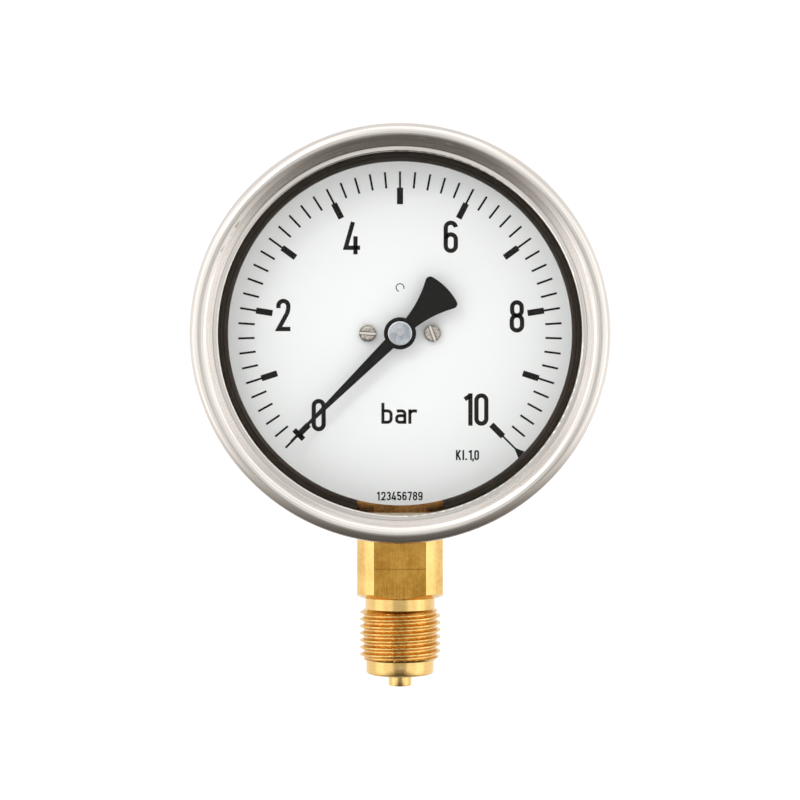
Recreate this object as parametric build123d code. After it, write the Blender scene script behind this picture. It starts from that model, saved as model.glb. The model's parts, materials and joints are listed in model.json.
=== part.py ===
"""Dial pressure gauge, 100 mm case, bottom connection, Bourdon tube movement.

Row frame in millimetres: +Z up, the dial looks along -Y, and the origin is on the stem's axis at the
seal face, which is the flat end of the pilot below the thread. Everything round the dial is drawn in
the dial frame instead: x to the right, y up, z out of the dial towards the reader. Its origin is on
the pointer's axis in the plane of the stem's axis, so a piece's z there is its depth.
"""
from build123d import *
import os
from math import acos, atan2, cos, degrees, hypot, pi, radians, sin, tan

# ---------------------------------------------------------------- driving dimensions
DIAL_HEIGHT = 88.0          # pointer's axis above the seal face
FIT = 0.005                 # radial gap of pieces pressed together
SLIP = 0.04                 # radial running clearance of a journal
PASS = 0.2                  # gap where one piece passes another

# case
CASE_R = 50.0
CASE_WALL = 1.0
CASE_BACK = -17.5           # depth of the case's back face
CASE_CORNER = 5.0           # outer radius of the drawn corner
CASE_RIM = 22.4             # depth of the front rim
FLANGE_THICK = 1.2
FLANGE_PROUD = 0.2          # flange beyond the case's wall
LUG_REACH = 1.3             # lugs beyond the case's wall
LUG_ARC = 24.0
LUG_COUNT = 4
PAD_SIDE = 2.15             # flat for the stem beyond the seal, left and right
PAD_SPARE = 2.0             # that flat beyond the seal, front and back

# bayonet ring
RING_WALL = 0.8
SKIRT_LONG = 4.9            # from the case's rim back to the skirt's rear edge
BEAD_R = 2.4
BEAD_BEHIND = 0.1           # bead's centre behind the lip's face
BEAD_FLANK = 45.0           # slope of the bead's inner flank
LIP_COVER = 4.7             # the opening's radius is this much less than the case's
LIP_EDGE = 0.35
CREASE_EDGE = 0.15          # where the bead meets the lip
CLAW_THICK = 1.0
CLAW_GAP = 0.3              # behind the lugs
CLAW_SPARE = 0.4            # between the claws and the case's wall
CLAW_ARC = 20.0

# window
WINDOW_INSET = 0.4          # the window's radius is this much less than the case's
WINDOW_THICK = 4.0
WINDOW_EDGE = 0.4
GASKET_SEAT = 1.5           # rubber between the rim and the window
GASKET_PROUD = 0.8          # gasket beyond the case's wall
GASKET_COVER = 3.6          # gasket inside the case's wall
GASKET_STEP = 0.5           # gasket's edge behind the window's front

# dial and its screws
DIAL_INSET = 6.45           # the dial's radius is this much less than the case's
DIAL_FRONT = 15.0
DIAL_THICK = 1.0
DIAL_HOLE_R = 3.0
DIAL_SCREW_X = 8.2
DIAL_SCREW_R = 1.25
DIAL_SCREW_GRIP = 4.0
DIAL_HEAD_R = 2.2
DIAL_HEAD_HIGH = 1.6
DIAL_HEAD_EDGE = 0.35
DIAL_SLOT_WIDE = 0.6
DIAL_SLOT_DEEP = 0.7
DIAL_SLOT_TURNS = (-3.0, -70.0)

# pointer
POINTER_OFF = 3.3           # pointer's back in front of the dial
POINTER_THICK = 0.6
POINTER_REST = 224.6        # direction of the zero mark, less the rest stop's play
POINTER_SHORT = 4.85        # from the pointer's tip out to the dial's edge
POINTER_ROOT_HALF = 1.68
POINTER_TIP_HALF = 0.15
POINTER_HUB_R = 4.06
TAIL_R = 16.4
TAIL_ROOT = (2.0, 1.51)     # each side of the tail: distance behind the axis, and half width
TAIL_WAIST = (10.4, 3.35)
TAIL_RIM = (15.32, 5.8)
TAIL_CORNER = 1.2
BUSH_R = 3.05
BUSH_RIM = 0.6
BUSH_EDGE = 0.2
BUSH_NECK_R = 2.0
BUSH_SLEEVE_R = 1.7
BUSH_SLEEVE_LONG = 2.1

# toothed gearing
MODULE = 0.3
PRESSURE_ANGLE = 20.0
PINION_TEETH = 16
SECTOR_TEETH = 144          # teeth of the full circle that the sector is cut from
BACKLASH = 0.04             # taken off each tooth's thickness
MESH_GAP = 0.03             # added to the centre distance
SECTOR_DIRECTION = -58.0    # of the sector's pivot, seen from the pointer's axis
SWEEP = 30.0                # the sector's stroke
SECTOR_THICK = 1.2
SECTOR_OFF = 2.5            # sector in front of the back plate
SECTOR_HUB_R = 3.2
SECTOR_RIM_WIDE = 3.0
SPOKE_ARC = 6.0
TAIL_END_R = 2.0
SPARE_TEETH = 2             # beyond the stroke, at each end
PINION_SPARE = 0.8          # pinion behind the sector
PINION_WIDE = 3.0
ARBOR_R = 1.1
REAR_JOURNAL_R = 0.5
FRONT_JOURNAL_R = 0.9
SPINDLE_TIP_R = 0.75
SPINDLE_PROUD = 0.4         # spindle's tip in front of the bush
TAPER_OFF = 0.6             # start of the spindle's taper in front of the dial
TAIL_ARM = 7.27             # sector's pivot to its tail pin
TAIL_DIRECTION = -14.9
LINK_PIN = (26.02, -9.05)   # pin on the tube's end piece
LINK_THICK = 1.0
LINK_EYE_R = 1.9
LINK_SLOT_WIDE = 1.2
LINK_SLOT_SHORT = 3.5       # from a pin's axis to the slot's end
LUG_EYE_R = 2.2
PIN_R = 0.75
PIN_HEAD_R = 1.5
PIN_HEAD_HIGH = 0.7
OPEN_PIVOT_GAP = 0.25       # round the tail pin, where the linkage is open

# movement plates
BACK_PLATE_REAR = -2.0
PLATES_APART = 9.0
PLATE_THICK = 1.5
PILLARS = ((-8.0, 5.0), (11.5, 8.0), (-6.0, -23.5))
PILLAR_R = 2.0
PILLAR_BOSS_R = 3.5
PILLAR_TENON_R = 1.2
PLATE_SCREW_R = 0.8
PLATE_SCREW_GRIP = 2.6
PLATE_HEAD_R = 1.6
PLATE_HEAD_HIGH = 1.0
PLATE_SLOT = 0.4            # width and depth of the slot
POST_R = 2.4
POST_TENON_R = 1.4
MOVEMENT_SCREWS = ((-5.5, -14.5), (5.5, -14.5))
MOVEMENT_SCREW_R = 1.5
MOVEMENT_HEAD_R = 2.8
MOVEMENT_SCREW_GRIP = 5.0
MOVEMENT_SLOT_WIDE = 0.8
MOVEMENT_SLOT_DEEP = 0.6

# hairspring
COLLET_R = 1.9
COLLET_OFF = 1.0            # collet in front of the link
COLLET_HIGH = 2.0
STUD_LONG = 2.2
STUD_WIDE = 1.6
SPRING_STRIP = 0.16
SPRING_WIDE = 0.8
SPRING_TURNS = 5
SPRING_PITCH = 0.62

# Bourdon tube
TUBE_R = 34.0
TUBE_FLAT = 4.4
TUBE_WIDE = 11.0
TUBE_WALL = 0.5
TUBE_DEPTH = -5.0
TUBE_START = -97.0          # end in the socket
TUBE_END = -25.0            # free end, the way round over the top
SOLDER_GAP = 0.05
END_PIECE_ARC = 8.0
END_PIECE_PROUD = 0.6

# socket: the brass stem, its block and its thread
SQUARE = 22.0
CORNER_PROUD = 1.85         # turned corners beyond the flats
STEM_CHAMFER = 30.0
CHAMFER_INSET = 0.4         # the chamfer starts this much inside the flats
NECK_STEP = 0.2             # the square is this much smaller where it enters the case
SPIGOT_R = 3.0
SPIGOT_LONG = 3.0
SPIGOT_CHAMFER = 0.4
PILOT_INSET = 1.7275        # pilot's radius less than the thread's
PILOT_LONG = 3.8
PILOT_CHAMFER = 0.8
THREAD_R = 20.955 / 2       # G 1/2 B
THREAD_PITCH = 25.4 / 14
THREAD_DEPTH = 1.162
THREAD_TOP = 17.0
THREAD_ANGLE = 55.0
UNDERCUT_INSET = 0.3155     # undercut below the thread's root
UNDERCUT_TOP = 20.0
SEAL_THICK = 1.0
SEAL_PROUD = 2.0            # seal beyond the square
SEAL_CORNER = 1.5
STEM_GAP = 0.2
BLOCK_TOP = -28.0           # in the dial frame
TONGUE_TOP = -10.5
TONGUE_INSET = 1.5          # tongue's sides inside the block's
BLOCK_EDGE = 0.3
PORT_R = 2.0
PORT_DEEP = 12.0
RESTRICTOR_R = 1.75
RESTRICTOR_LONG = 4.0
RESTRICTOR_HOLE_R = 0.3
RESTRICTOR_SLOT_WIDE = 0.6
RESTRICTOR_SLOT_DEEP = 0.6
RISER_R = 1.25

# case screws and blow-out plug
CASE_SCREW_X = 6.5
CASE_SCREW_RISE = 6.1       # above the block's lower face
CASE_SCREW_R = 2.0
CASE_HEAD_R = 4.0
CASE_HEAD_HIGH = 2.6
CASE_SCREW_GRIP = 7.0
CASE_SLOT_WIDE = 1.2
CASE_SLOT_DEEP = 0.6
CASE_SLOT_TURN = 20.0
SPACER_R = 4.6
PLUG_HIGH = 26.0            # above the pointer's axis
PLUG_POCKET_R = 12.0
PLUG_POCKET_DEEP = 1.6
PLUG_FLANGE_R = 10.5
PLUG_NECK_R = 8.0
PLUG_LIP_R = 8.8
PLUG_LIP_THICK = 1.5
PLUG_EDGE = 0.6
PLUG_LIP_TAPER = 0.6
PLUG_DIMPLE_INSET = 2.0
PLUG_DIMPLE_DEEP = 0.6

# ---------------------------------------------------------------- worked-out places
DIAL = Location((0, 0, DIAL_HEIGHT), (90, 0, 0))
BAR_UP = (Align.CENTER, Align.CENTER, Align.MIN)

CASE_INSIDE = CASE_BACK + CASE_WALL
FLANGE_R = CASE_R + FLANGE_PROUD
LUG_R = CASE_R + LUG_REACH
BLOCK_HALF = SQUARE / 2
SEAL_HALF = BLOCK_HALF + SEAL_PROUD
INSIDE_R = CASE_R - CASE_WALL
SEAT_DROP = (INSIDE_R**2 - (SEAL_HALF + PAD_SIDE) ** 2) ** 0.5   # seal's seat below the axis
PAD_DROP = SEAT_DROP + CASE_WALL                      # that flat's outer face below the axis
SHOULDER = SEAT_DROP - SEAL_THICK                     # block's lower face below the axis
STEM_TOP = DIAL_HEIGHT - SHOULDER
PAD_REACH = SEAL_HALF + PAD_SPARE
CASE_SCREWS = ((-CASE_SCREW_X, CASE_SCREW_RISE - SHOULDER), (CASE_SCREW_X, CASE_SCREW_RISE - SHOULDER))

RING_R = LUG_R + PASS + RING_WALL
RING_REAR = CASE_RIM - SKIRT_LONG
WINDOW_R = CASE_R - WINDOW_INSET
WINDOW_BACK = CASE_RIM + GASKET_SEAT
LIP_R = CASE_R - LIP_COVER
LIP_BACK = WINDOW_BACK + WINDOW_THICK
LIP_FRONT = LIP_BACK + RING_WALL
BEAD_CENTRE_R = RING_R - BEAD_R
BEAD_DEPTH = LIP_FRONT - BEAD_BEHIND
CLAW_R = CASE_R + CLAW_SPARE
GASKET_IN_R = CASE_R - GASKET_COVER
GASKET_OUT_R = CASE_R + GASKET_PROUD

DIAL_R = CASE_R - DIAL_INSET
DIAL_BACK = DIAL_FRONT - DIAL_THICK
POINTER_BACK = DIAL_FRONT + POINTER_OFF
POINTER_FRONT = POINTER_BACK + POINTER_THICK
POINTER_TIP = DIAL_R - POINTER_SHORT
BUSH_FRONT = POINTER_FRONT + BUSH_RIM
SPINDLE_TIP = BUSH_FRONT + SPINDLE_PROUD
TAPER_START = DIAL_FRONT + TAPER_OFF

BACK_PLATE_FRONT = BACK_PLATE_REAR + PLATE_THICK
FRONT_PLATE_REAR = BACK_PLATE_FRONT + PLATES_APART
FRONT_PLATE_FRONT = FRONT_PLATE_REAR + PLATE_THICK
PINION_PITCH_R = MODULE * PINION_TEETH / 2
SECTOR_PITCH_R = MODULE * SECTOR_TEETH / 2
CENTRES = PINION_PITCH_R + SECTOR_PITCH_R + MESH_GAP
SECTOR_BACK = BACK_PLATE_FRONT + SECTOR_OFF
SECTOR_FRONT = SECTOR_BACK + SECTOR_THICK
PINION_BACK = SECTOR_BACK - PINION_SPARE
LINK_BACK = SECTOR_FRONT + PASS
LINK_FRONT = LINK_BACK + LINK_THICK
COLLET_BACK = LINK_FRONT + COLLET_OFF

CORNER_R = BLOCK_HALF + CORNER_PROUD
STEM_CHAMFER_R = BLOCK_HALF - CHAMFER_INSET
TONGUE_HALF = BLOCK_HALF - TONGUE_INSET
PILOT_R = THREAD_R - PILOT_INSET
UNDERCUT_R = THREAD_R - THREAD_DEPTH - UNDERCUT_INSET
NECK = SQUARE - 2 * NECK_STEP
NECK_LOW = DIAL_HEIGHT - PAD_DROP - PASS


def polar(radius, angle):
    """Point in the dial plane at a radius and an angle in degrees, counted from the right."""
    return (radius * cos(radians(angle)), radius * sin(radians(angle)))


SECTOR_PIVOT = polar(CENTRES, SECTOR_DIRECTION)
TAIL_STEP = polar(TAIL_ARM, TAIL_DIRECTION)
TAIL_PIN = (SECTOR_PIVOT[0] + TAIL_STEP[0], SECTOR_PIVOT[1] + TAIL_STEP[1])


# ---------------------------------------------------------------- helpers
def bar(radius, low, high, at=(0, 0)):
    """Round bar along the dial frame's z, from one depth to another."""
    return Pos(at[0], at[1], low) * Cylinder(radius, high - low, align=BAR_UP)


def pipe(inner, outer, low, high, at=(0, 0)):
    """Round tube along the dial frame's z."""
    return bar(outer, low, high, at) - bar(inner, low, high, at)


def taper(low_r, high_r, low, high, at=(0, 0)):
    """Cone along the dial frame's z."""
    return Pos(at[0], at[1], low) * Cone(low_r, high_r, high - low, align=BAR_UP)


def slab(sketch, low, high):
    """Flat piece: an outline in the dial plane, given a thickness."""
    return Pos(0, 0, low) * extrude(sketch, high - low)


def spun(sketch):
    """Full turn of a section whose x is the radius and whose y is the depth."""
    return revolve(Plane.XZ * sketch, axis=Axis.Z)


def ring_sector(inner, outer, low, high, middle, arc):
    """Piece of a ring, by its middle direction and its arc in degrees."""
    section = Pos((inner + outer) / 2, (low + high) / 2) * Rectangle(outer - inner, high - low)
    piece = revolve(Plane.XZ * section, axis=Axis.Z, revolution_arc=arc)
    return Rot(0, 0, middle - arc / 2) * piece


def group(pieces):
    """Loose pieces that share one node."""
    return Compound(children=list(pieces))


def slot_cut(wide, deep, long, top, turn, at=(0, 0)):
    """Screwdriver slot, cut down from a head's top face."""
    blade = Box(long, wide, 2 * deep)
    return Pos(at[0], at[1], top) * Rot(0, 0, turn) * blade


# ---------------------------------------------------------------- case, ring and window
def make_case():
    outer = fillet(bar(CASE_R, CASE_BACK, CASE_RIM).edges().sort_by(Axis.Z)[0], CASE_CORNER)
    inside = bar(INSIDE_R, CASE_INSIDE, CASE_RIM)
    inside = fillet(inside.edges().sort_by(Axis.Z)[0], CASE_CORNER - CASE_WALL)
    far = 2 * CASE_R
    outer -= Pos(0, -PAD_DROP - CASE_R, 0) * Box(far, 2 * CASE_R, 2 * PAD_REACH)
    inner_reach = 2 * (PAD_REACH + CASE_WALL)
    inside -= Pos(0, -SEAT_DROP - CASE_R, 0) * Box(far, 2 * CASE_R, inner_reach)
    plug_at = (0, PLUG_HIGH)
    boss = bar(PLUG_POCKET_R + CASE_WALL, CASE_INSIDE, CASE_INSIDE + PLUG_POCKET_DEEP, plug_at)
    case = outer - (inside - boss)
    case -= bar(PLUG_POCKET_R, CASE_BACK, CASE_BACK + PLUG_POCKET_DEEP, plug_at)
    case -= bar(PLUG_NECK_R, CASE_BACK, CASE_INSIDE + PLUG_POCKET_DEEP, plug_at)
    flange_low = CASE_RIM - FLANGE_THICK
    case += pipe(CASE_R - CASE_WALL / 2, FLANGE_R, flange_low, CASE_RIM)
    for index in range(LUG_COUNT):
        direction = 45 + index * 360 / LUG_COUNT
        case += ring_sector(CASE_R, LUG_R, flange_low, CASE_RIM, direction, LUG_ARC)
    for at in CASE_SCREWS:
        case -= case_screw_shape(at, STEM_GAP)
    hole = Rectangle(NECK + 2 * STEM_GAP, NECK + 2 * STEM_GAP) & Circle(CORNER_R + STEM_GAP)
    stem_way = Pos(0, 0, DIAL_HEIGHT - CASE_R) * extrude(hole, CASE_R - SHOULDER)
    return case - DIAL.inverse() * stem_way


def case_screw_shape(at, extra=0.0):
    """Countersunk screw, in through the case's back."""
    head_low = CASE_BACK
    neck = CASE_BACK + CASE_HEAD_HIGH
    end = -BLOCK_HALF + CASE_SCREW_GRIP
    shape = taper(CASE_HEAD_R + extra, CASE_SCREW_R + extra, head_low, neck, at)
    return shape + bar(CASE_SCREW_R + extra, neck, end, at)


def make_case_screws():
    screws = []
    for at in CASE_SCREWS:
        slot = slot_cut(
            CASE_SLOT_WIDE, CASE_SLOT_DEEP, 3 * CASE_HEAD_R, CASE_BACK, CASE_SLOT_TURN, at
        )
        screws.append(case_screw_shape(at) - slot)
    return group(screws)


def make_case_spacers():
    spacers = []
    for at in CASE_SCREWS:
        sleeve = bar(SPACER_R, CASE_INSIDE, -BLOCK_HALF, at)
        spacers.append(sleeve - case_screw_shape(at, FIT))
    return group(spacers)


def make_blow_out_plug():
    at = (0, PLUG_HIGH)
    seat = CASE_BACK + PLUG_POCKET_DEEP
    wall_inside = seat + CASE_WALL
    flange = bar(PLUG_FLANGE_R, CASE_BACK, seat, at)
    flange = fillet(flange.edges().sort_by(Axis.Z)[0], PLUG_EDGE)
    neck = bar(PLUG_NECK_R - FIT, seat, wall_inside, at)
    lip_end = PLUG_NECK_R - PLUG_LIP_TAPER
    lip = taper(PLUG_LIP_R, lip_end, wall_inside, wall_inside + PLUG_LIP_THICK, at)
    dimple_r = PLUG_NECK_R - PLUG_DIMPLE_INSET
    dimple = bar(dimple_r, CASE_BACK, CASE_BACK + PLUG_DIMPLE_DEEP, at)
    return flange + neck + lip - dimple


def bead_flank(bead_r, foot):
    """Where a bead's arc goes over into its straight inner flank, and where that flank ends."""
    lean = radians(BEAD_FLANK)
    start = (BEAD_CENTRE_R - bead_r * sin(lean), BEAD_DEPTH + bead_r * cos(lean))
    return start, (start[0] - (start[1] - foot) / tan(lean), foot)


def make_bayonet_ring():
    inner_bead = BEAD_R - RING_WALL
    inner_skirt = RING_R - RING_WALL
    flank, crease_at = bead_flank(BEAD_R, LIP_FRONT)
    inner_flank, inner_foot = bead_flank(inner_bead, LIP_BACK)
    sweep = 90 + BEAD_FLANK
    with BuildSketch() as section:
        with BuildLine():
            Line((RING_R, RING_REAR), (RING_R, BEAD_DEPTH))
            CenterArc((BEAD_CENTRE_R, BEAD_DEPTH), BEAD_R, 0, sweep)
            Polyline(flank, crease_at, (LIP_R, LIP_FRONT), (LIP_R, LIP_BACK), inner_foot, inner_flank)
            CenterArc((BEAD_CENTRE_R, BEAD_DEPTH), inner_bead, 0, sweep)
            Polyline((inner_skirt, BEAD_DEPTH), (inner_skirt, RING_REAR), (RING_R, RING_REAR))
        make_face()
        lip_edge = section.vertices().sort_by_distance((LIP_R, LIP_FRONT))[0]
        fillet(lip_edge, LIP_EDGE)
        crease = section.vertices().sort_by_distance(crease_at)[0]
        fillet(crease, CREASE_EDGE)
    ring = spun(section.sketch)
    claw_front = CASE_RIM - FLANGE_THICK - CLAW_GAP
    claw_back = claw_front - CLAW_THICK
    for index in range(LUG_COUNT):
        direction = 45 + index * 360 / LUG_COUNT
        root_r = inner_skirt + RING_WALL / 2
        ring += ring_sector(CLAW_R, root_r, claw_back, claw_front, direction, CLAW_ARC)
    return ring


def make_window():
    glass = bar(WINDOW_R, WINDOW_BACK, LIP_BACK)
    return chamfer(glass.edges(), WINDOW_EDGE)


def make_window_gasket():
    outline = Polyline(
        (GASKET_IN_R, CASE_RIM),
        (GASKET_OUT_R, CASE_RIM),
        (GASKET_OUT_R, LIP_BACK - GASKET_STEP),
        (WINDOW_R + FIT, LIP_BACK - GASKET_STEP),
        (WINDOW_R + FIT, WINDOW_BACK),
        (GASKET_IN_R, WINDOW_BACK),
        close=True,
    )
    return spun(make_face(outline.edges()))


# ---------------------------------------------------------------- dial and pointer
def make_dial():
    dial = pipe(DIAL_HOLE_R, DIAL_R, DIAL_BACK, DIAL_FRONT)
    for side in (-1, 1):
        dial -= bar(DIAL_SCREW_R + PASS, DIAL_BACK, DIAL_FRONT, (side * DIAL_SCREW_X, 0))
    return dial


def make_dial_screws():
    screws = []
    top = DIAL_FRONT + DIAL_HEAD_HIGH
    for side, turn in zip((-1, 1), DIAL_SLOT_TURNS):
        at = (side * DIAL_SCREW_X, 0)
        head = bar(DIAL_HEAD_R, DIAL_FRONT, top, at)
        head = fillet(head.edges().sort_by(Axis.Z)[-1], DIAL_HEAD_EDGE)
        shank = bar(DIAL_SCREW_R, DIAL_FRONT - DIAL_SCREW_GRIP, DIAL_FRONT, at)
        slot = slot_cut(DIAL_SLOT_WIDE, DIAL_SLOT_DEEP, 3 * DIAL_HEAD_R, top, turn, at)
        screws.append(head + shank - slot)
    return group(screws)


def tail_side(side):
    """Hollow side of the pointer's tail, from the hub out to the rim arc."""
    return ThreePointArc(
        (-TAIL_ROOT[0], side * TAIL_ROOT[1]),
        (-TAIL_WAIST[0], side * TAIL_WAIST[1]),
        (-TAIL_RIM[0], side * TAIL_RIM[1]),
    )


def make_pointer():
    with BuildSketch() as blade:
        with BuildLine():
            left = tail_side(1)
            right = tail_side(-1)
            ThreePointArc(left @ 1, (-TAIL_R, 0), right @ 1)
            Polyline(
                left @ 0,
                (0, POINTER_ROOT_HALF),
                (POINTER_TIP, POINTER_TIP_HALF),
                (POINTER_TIP, -POINTER_TIP_HALF),
                (0, -POINTER_ROOT_HALF),
                right @ 0,
            )
        make_face()
        fillet(blade.vertices().sort_by(Axis.X)[:2], TAIL_CORNER)
        Circle(POINTER_HUB_R)
        Circle(BUSH_NECK_R + FIT, mode=Mode.SUBTRACT)
    return slab(Rot(0, 0, POINTER_REST) * blade.sketch, POINTER_BACK, POINTER_FRONT)


def make_pointer_bush():
    rim = bar(BUSH_R, POINTER_FRONT, BUSH_FRONT)
    rim = fillet(rim.edges().sort_by(Axis.Z)[-1], BUSH_EDGE)
    neck = bar(BUSH_NECK_R, POINTER_BACK, POINTER_FRONT)
    sleeve = bar(BUSH_SLEEVE_R, POINTER_BACK - BUSH_SLEEVE_LONG, POINTER_BACK)
    bore = taper(FRONT_JOURNAL_R + FIT, SPINDLE_TIP_R + FIT, TAPER_START, SPINDLE_TIP)
    return rim + neck + sleeve - bore


# ---------------------------------------------------------------- gearing
def involute(angle):
    return tan(angle) - angle


def tooth(teeth, root_r, tip_r):
    """One tooth on the x axis, with involute flanks drawn as arcs through three of their points."""
    pitch_r = MODULE * teeth / 2
    base_r = pitch_r * cos(radians(PRESSURE_ANGLE))
    half_pitch = pi / (2 * teeth) - BACKLASH / (2 * pitch_r)
    half_base = half_pitch + involute(radians(PRESSURE_ANGLE))

    def flank(radius, side):
        half = half_base - involute(acos(min(1.0, base_r / radius)))
        return (radius * cos(half), side * radius * sin(half))

    start_r = max(base_r, root_r)
    middle_r = (start_r + tip_r) / 2
    buried_r = root_r - MODULE / 2
    foot = flank(start_r, 1)
    foot_angle = atan2(foot[1], foot[0])
    buried = (buried_r * cos(foot_angle), buried_r * sin(foot_angle))
    upper = ThreePointArc(foot, flank(middle_r, 1), flank(tip_r, 1))
    top = ThreePointArc(flank(tip_r, 1), (tip_r, 0), flank(tip_r, -1))
    lower = ThreePointArc(flank(tip_r, -1), flank(middle_r, -1), flank(start_r, -1))
    foot_line = Polyline(flank(start_r, -1), (buried[0], -buried[1]), buried, foot)
    return make_face([*upper.edges(), *top.edges(), *lower.edges(), *foot_line.edges()])


def make_pinion_arbor():
    root_r = PINION_PITCH_R - 1.25 * MODULE
    tip_r = PINION_PITCH_R + MODULE
    leaves = Circle(root_r)
    shape = tooth(PINION_TEETH, root_r, tip_r)
    step = 360 / PINION_TEETH
    for index in range(PINION_TEETH):
        leaves += Rot(0, 0, SECTOR_DIRECTION + (index + 0.5) * step) * shape
    arbor = slab(leaves, PINION_BACK, PINION_BACK + PINION_WIDE)
    front_shoulder = FRONT_PLATE_REAR - PASS
    rear_shoulder = BACK_PLATE_FRONT + PASS
    arbor += bar(ARBOR_R, rear_shoulder, front_shoulder)
    arbor += bar(REAR_JOURNAL_R, BACK_PLATE_REAR - PASS, rear_shoulder)
    arbor += bar(FRONT_JOURNAL_R, front_shoulder, TAPER_START)
    return arbor + taper(FRONT_JOURNAL_R, SPINDLE_TIP_R, TAPER_START, SPINDLE_TIP)


def make_sector_gear():
    root_r = SECTOR_PITCH_R - 1.25 * MODULE
    tip_r = SECTOR_PITCH_R + 0.9 * MODULE
    mesh = SECTOR_DIRECTION + 180
    step = 360 / SECTOR_TEETH
    first = -round(SWEEP / step) - SPARE_TEETH
    low = mesh + (first - 0.5) * step
    high = mesh + (SPARE_TEETH + 0.5) * step
    rim_in = root_r - SECTOR_RIM_WIDE
    inner_low, inner_high = low + SPOKE_ARC, high - SPOKE_ARC
    wedge = pie(root_r, low, high) - pie(rim_in, inner_low, inner_high)
    shape = tooth(SECTOR_TEETH, root_r, tip_r)
    for index in range(first, SPARE_TEETH + 1):
        wedge += Rot(0, 0, mesh + index * step) * shape
    tail = [*Circle(SECTOR_HUB_R).edges(), *(Pos(*TAIL_STEP) * Circle(TAIL_END_R)).edges()]
    body = wedge + Circle(SECTOR_HUB_R) + make_hull(tail)
    body -= Circle(ARBOR_R + FIT)
    body -= Pos(*TAIL_STEP) * Circle(PIN_R + FIT)
    return Pos(*SECTOR_PIVOT, 0) * slab(body, SECTOR_BACK, SECTOR_FRONT)


def pie(radius, low, high):
    """Slice of a disc between two directions."""
    arc = CenterArc((0, 0), radius, low, high - low)
    sides = Polyline(arc @ 1, (0, 0), arc @ 0)
    return make_face([*arc.edges(), *sides.edges()])


def make_sector_arbor():
    at = SECTOR_PIVOT
    front_shoulder = FRONT_PLATE_REAR - PASS
    rear_shoulder = BACK_PLATE_FRONT + PASS
    arbor = bar(ARBOR_R, rear_shoulder, front_shoulder, at)
    arbor += bar(REAR_JOURNAL_R, BACK_PLATE_REAR - PASS, rear_shoulder, at)
    arbor += bar(REAR_JOURNAL_R, front_shoulder, FRONT_PLATE_FRONT + PASS, at)
    collar = pipe(ARBOR_R, 2 * ARBOR_R, SECTOR_FRONT, SECTOR_FRONT + 1.0, at)
    return arbor + collar


def make_link():
    eyes = [Pos(*at) * Circle(LINK_EYE_R) for at in (LINK_PIN, TAIL_PIN)]
    outline = make_hull([*eyes[0].edges(), *eyes[1].edges()])
    waist_at = ((LINK_PIN[0] + TAIL_PIN[0]) / 2, (LINK_PIN[1] + TAIL_PIN[1]) / 2)
    outline -= Pos(*LINK_PIN) * Circle(PIN_R + SLIP)
    outline -= Pos(*TAIL_PIN) * Circle(PIN_R + OPEN_PIVOT_GAP)
    lean = degrees(atan2(LINK_PIN[1] - TAIL_PIN[1], LINK_PIN[0] - TAIL_PIN[0]))
    apart = hypot(LINK_PIN[0] - TAIL_PIN[0], LINK_PIN[1] - TAIL_PIN[1])
    waist = SlotOverall(apart - 2 * LINK_SLOT_SHORT, LINK_SLOT_WIDE)
    outline -= Pos(*waist_at) * Rot(0, 0, lean) * waist
    return slab(outline, LINK_BACK, LINK_FRONT)


def pin(at, back):
    """Shouldered pin: shank through two pieces, head in front of the link."""
    head = bar(PIN_HEAD_R, LINK_FRONT + PASS, LINK_FRONT + PASS + PIN_HEAD_HIGH, at)
    return bar(PIN_R, back, LINK_FRONT + PASS, at) + head


def make_tail_pin():
    return pin(TAIL_PIN, SECTOR_BACK)


def make_tip_pin():
    return pin(LINK_PIN, SECTOR_BACK)


# ---------------------------------------------------------------- movement
def plate_outline():
    edges = []
    for at in PILLARS:
        edges += (Pos(*at) * Circle(PILLAR_BOSS_R)).edges()
    edges += (Pos(*SECTOR_PIVOT) * Circle(PILLAR_BOSS_R)).edges()
    return make_hull(edges)


def make_back_plate():
    plate = slab(plate_outline(), BACK_PLATE_REAR, BACK_PLATE_FRONT)
    for at in PILLARS:
        plate -= bar(PILLAR_TENON_R + FIT, BACK_PLATE_REAR, BACK_PLATE_FRONT, at)
    for at in ((0, 0), SECTOR_PIVOT):
        plate -= bar(REAR_JOURNAL_R + SLIP, BACK_PLATE_REAR, BACK_PLATE_FRONT, at)
    for at in MOVEMENT_SCREWS:
        plate -= movement_screw_shape(at, FIT)
    return plate


def make_front_plate():
    plate = slab(plate_outline(), FRONT_PLATE_REAR, FRONT_PLATE_FRONT)
    plate -= bar(FRONT_JOURNAL_R + SLIP, FRONT_PLATE_REAR, FRONT_PLATE_FRONT)
    plate -= bar(REAR_JOURNAL_R + SLIP, FRONT_PLATE_REAR, FRONT_PLATE_FRONT, SECTOR_PIVOT)
    for at in PILLARS:
        plate -= bar(PLATE_SCREW_R + PASS, FRONT_PLATE_REAR, FRONT_PLATE_FRONT, at)
    for side in (-1, 1):
        at = (side * DIAL_SCREW_X, 0)
        plate -= bar(POST_TENON_R + FIT, FRONT_PLATE_REAR, FRONT_PLATE_FRONT, at)
    return plate


def make_pillars():
    pillars = []
    for at in PILLARS:
        pillar = bar(PILLAR_R, BACK_PLATE_FRONT, FRONT_PLATE_REAR, at)
        pillar += bar(PILLAR_TENON_R, BACK_PLATE_REAR + PASS, BACK_PLATE_FRONT, at)
        depth = FRONT_PLATE_REAR - PLATE_SCREW_GRIP - PASS
        pillars.append(pillar - bar(PLATE_SCREW_R + FIT, depth, FRONT_PLATE_REAR, at))
    return group(pillars)


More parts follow.
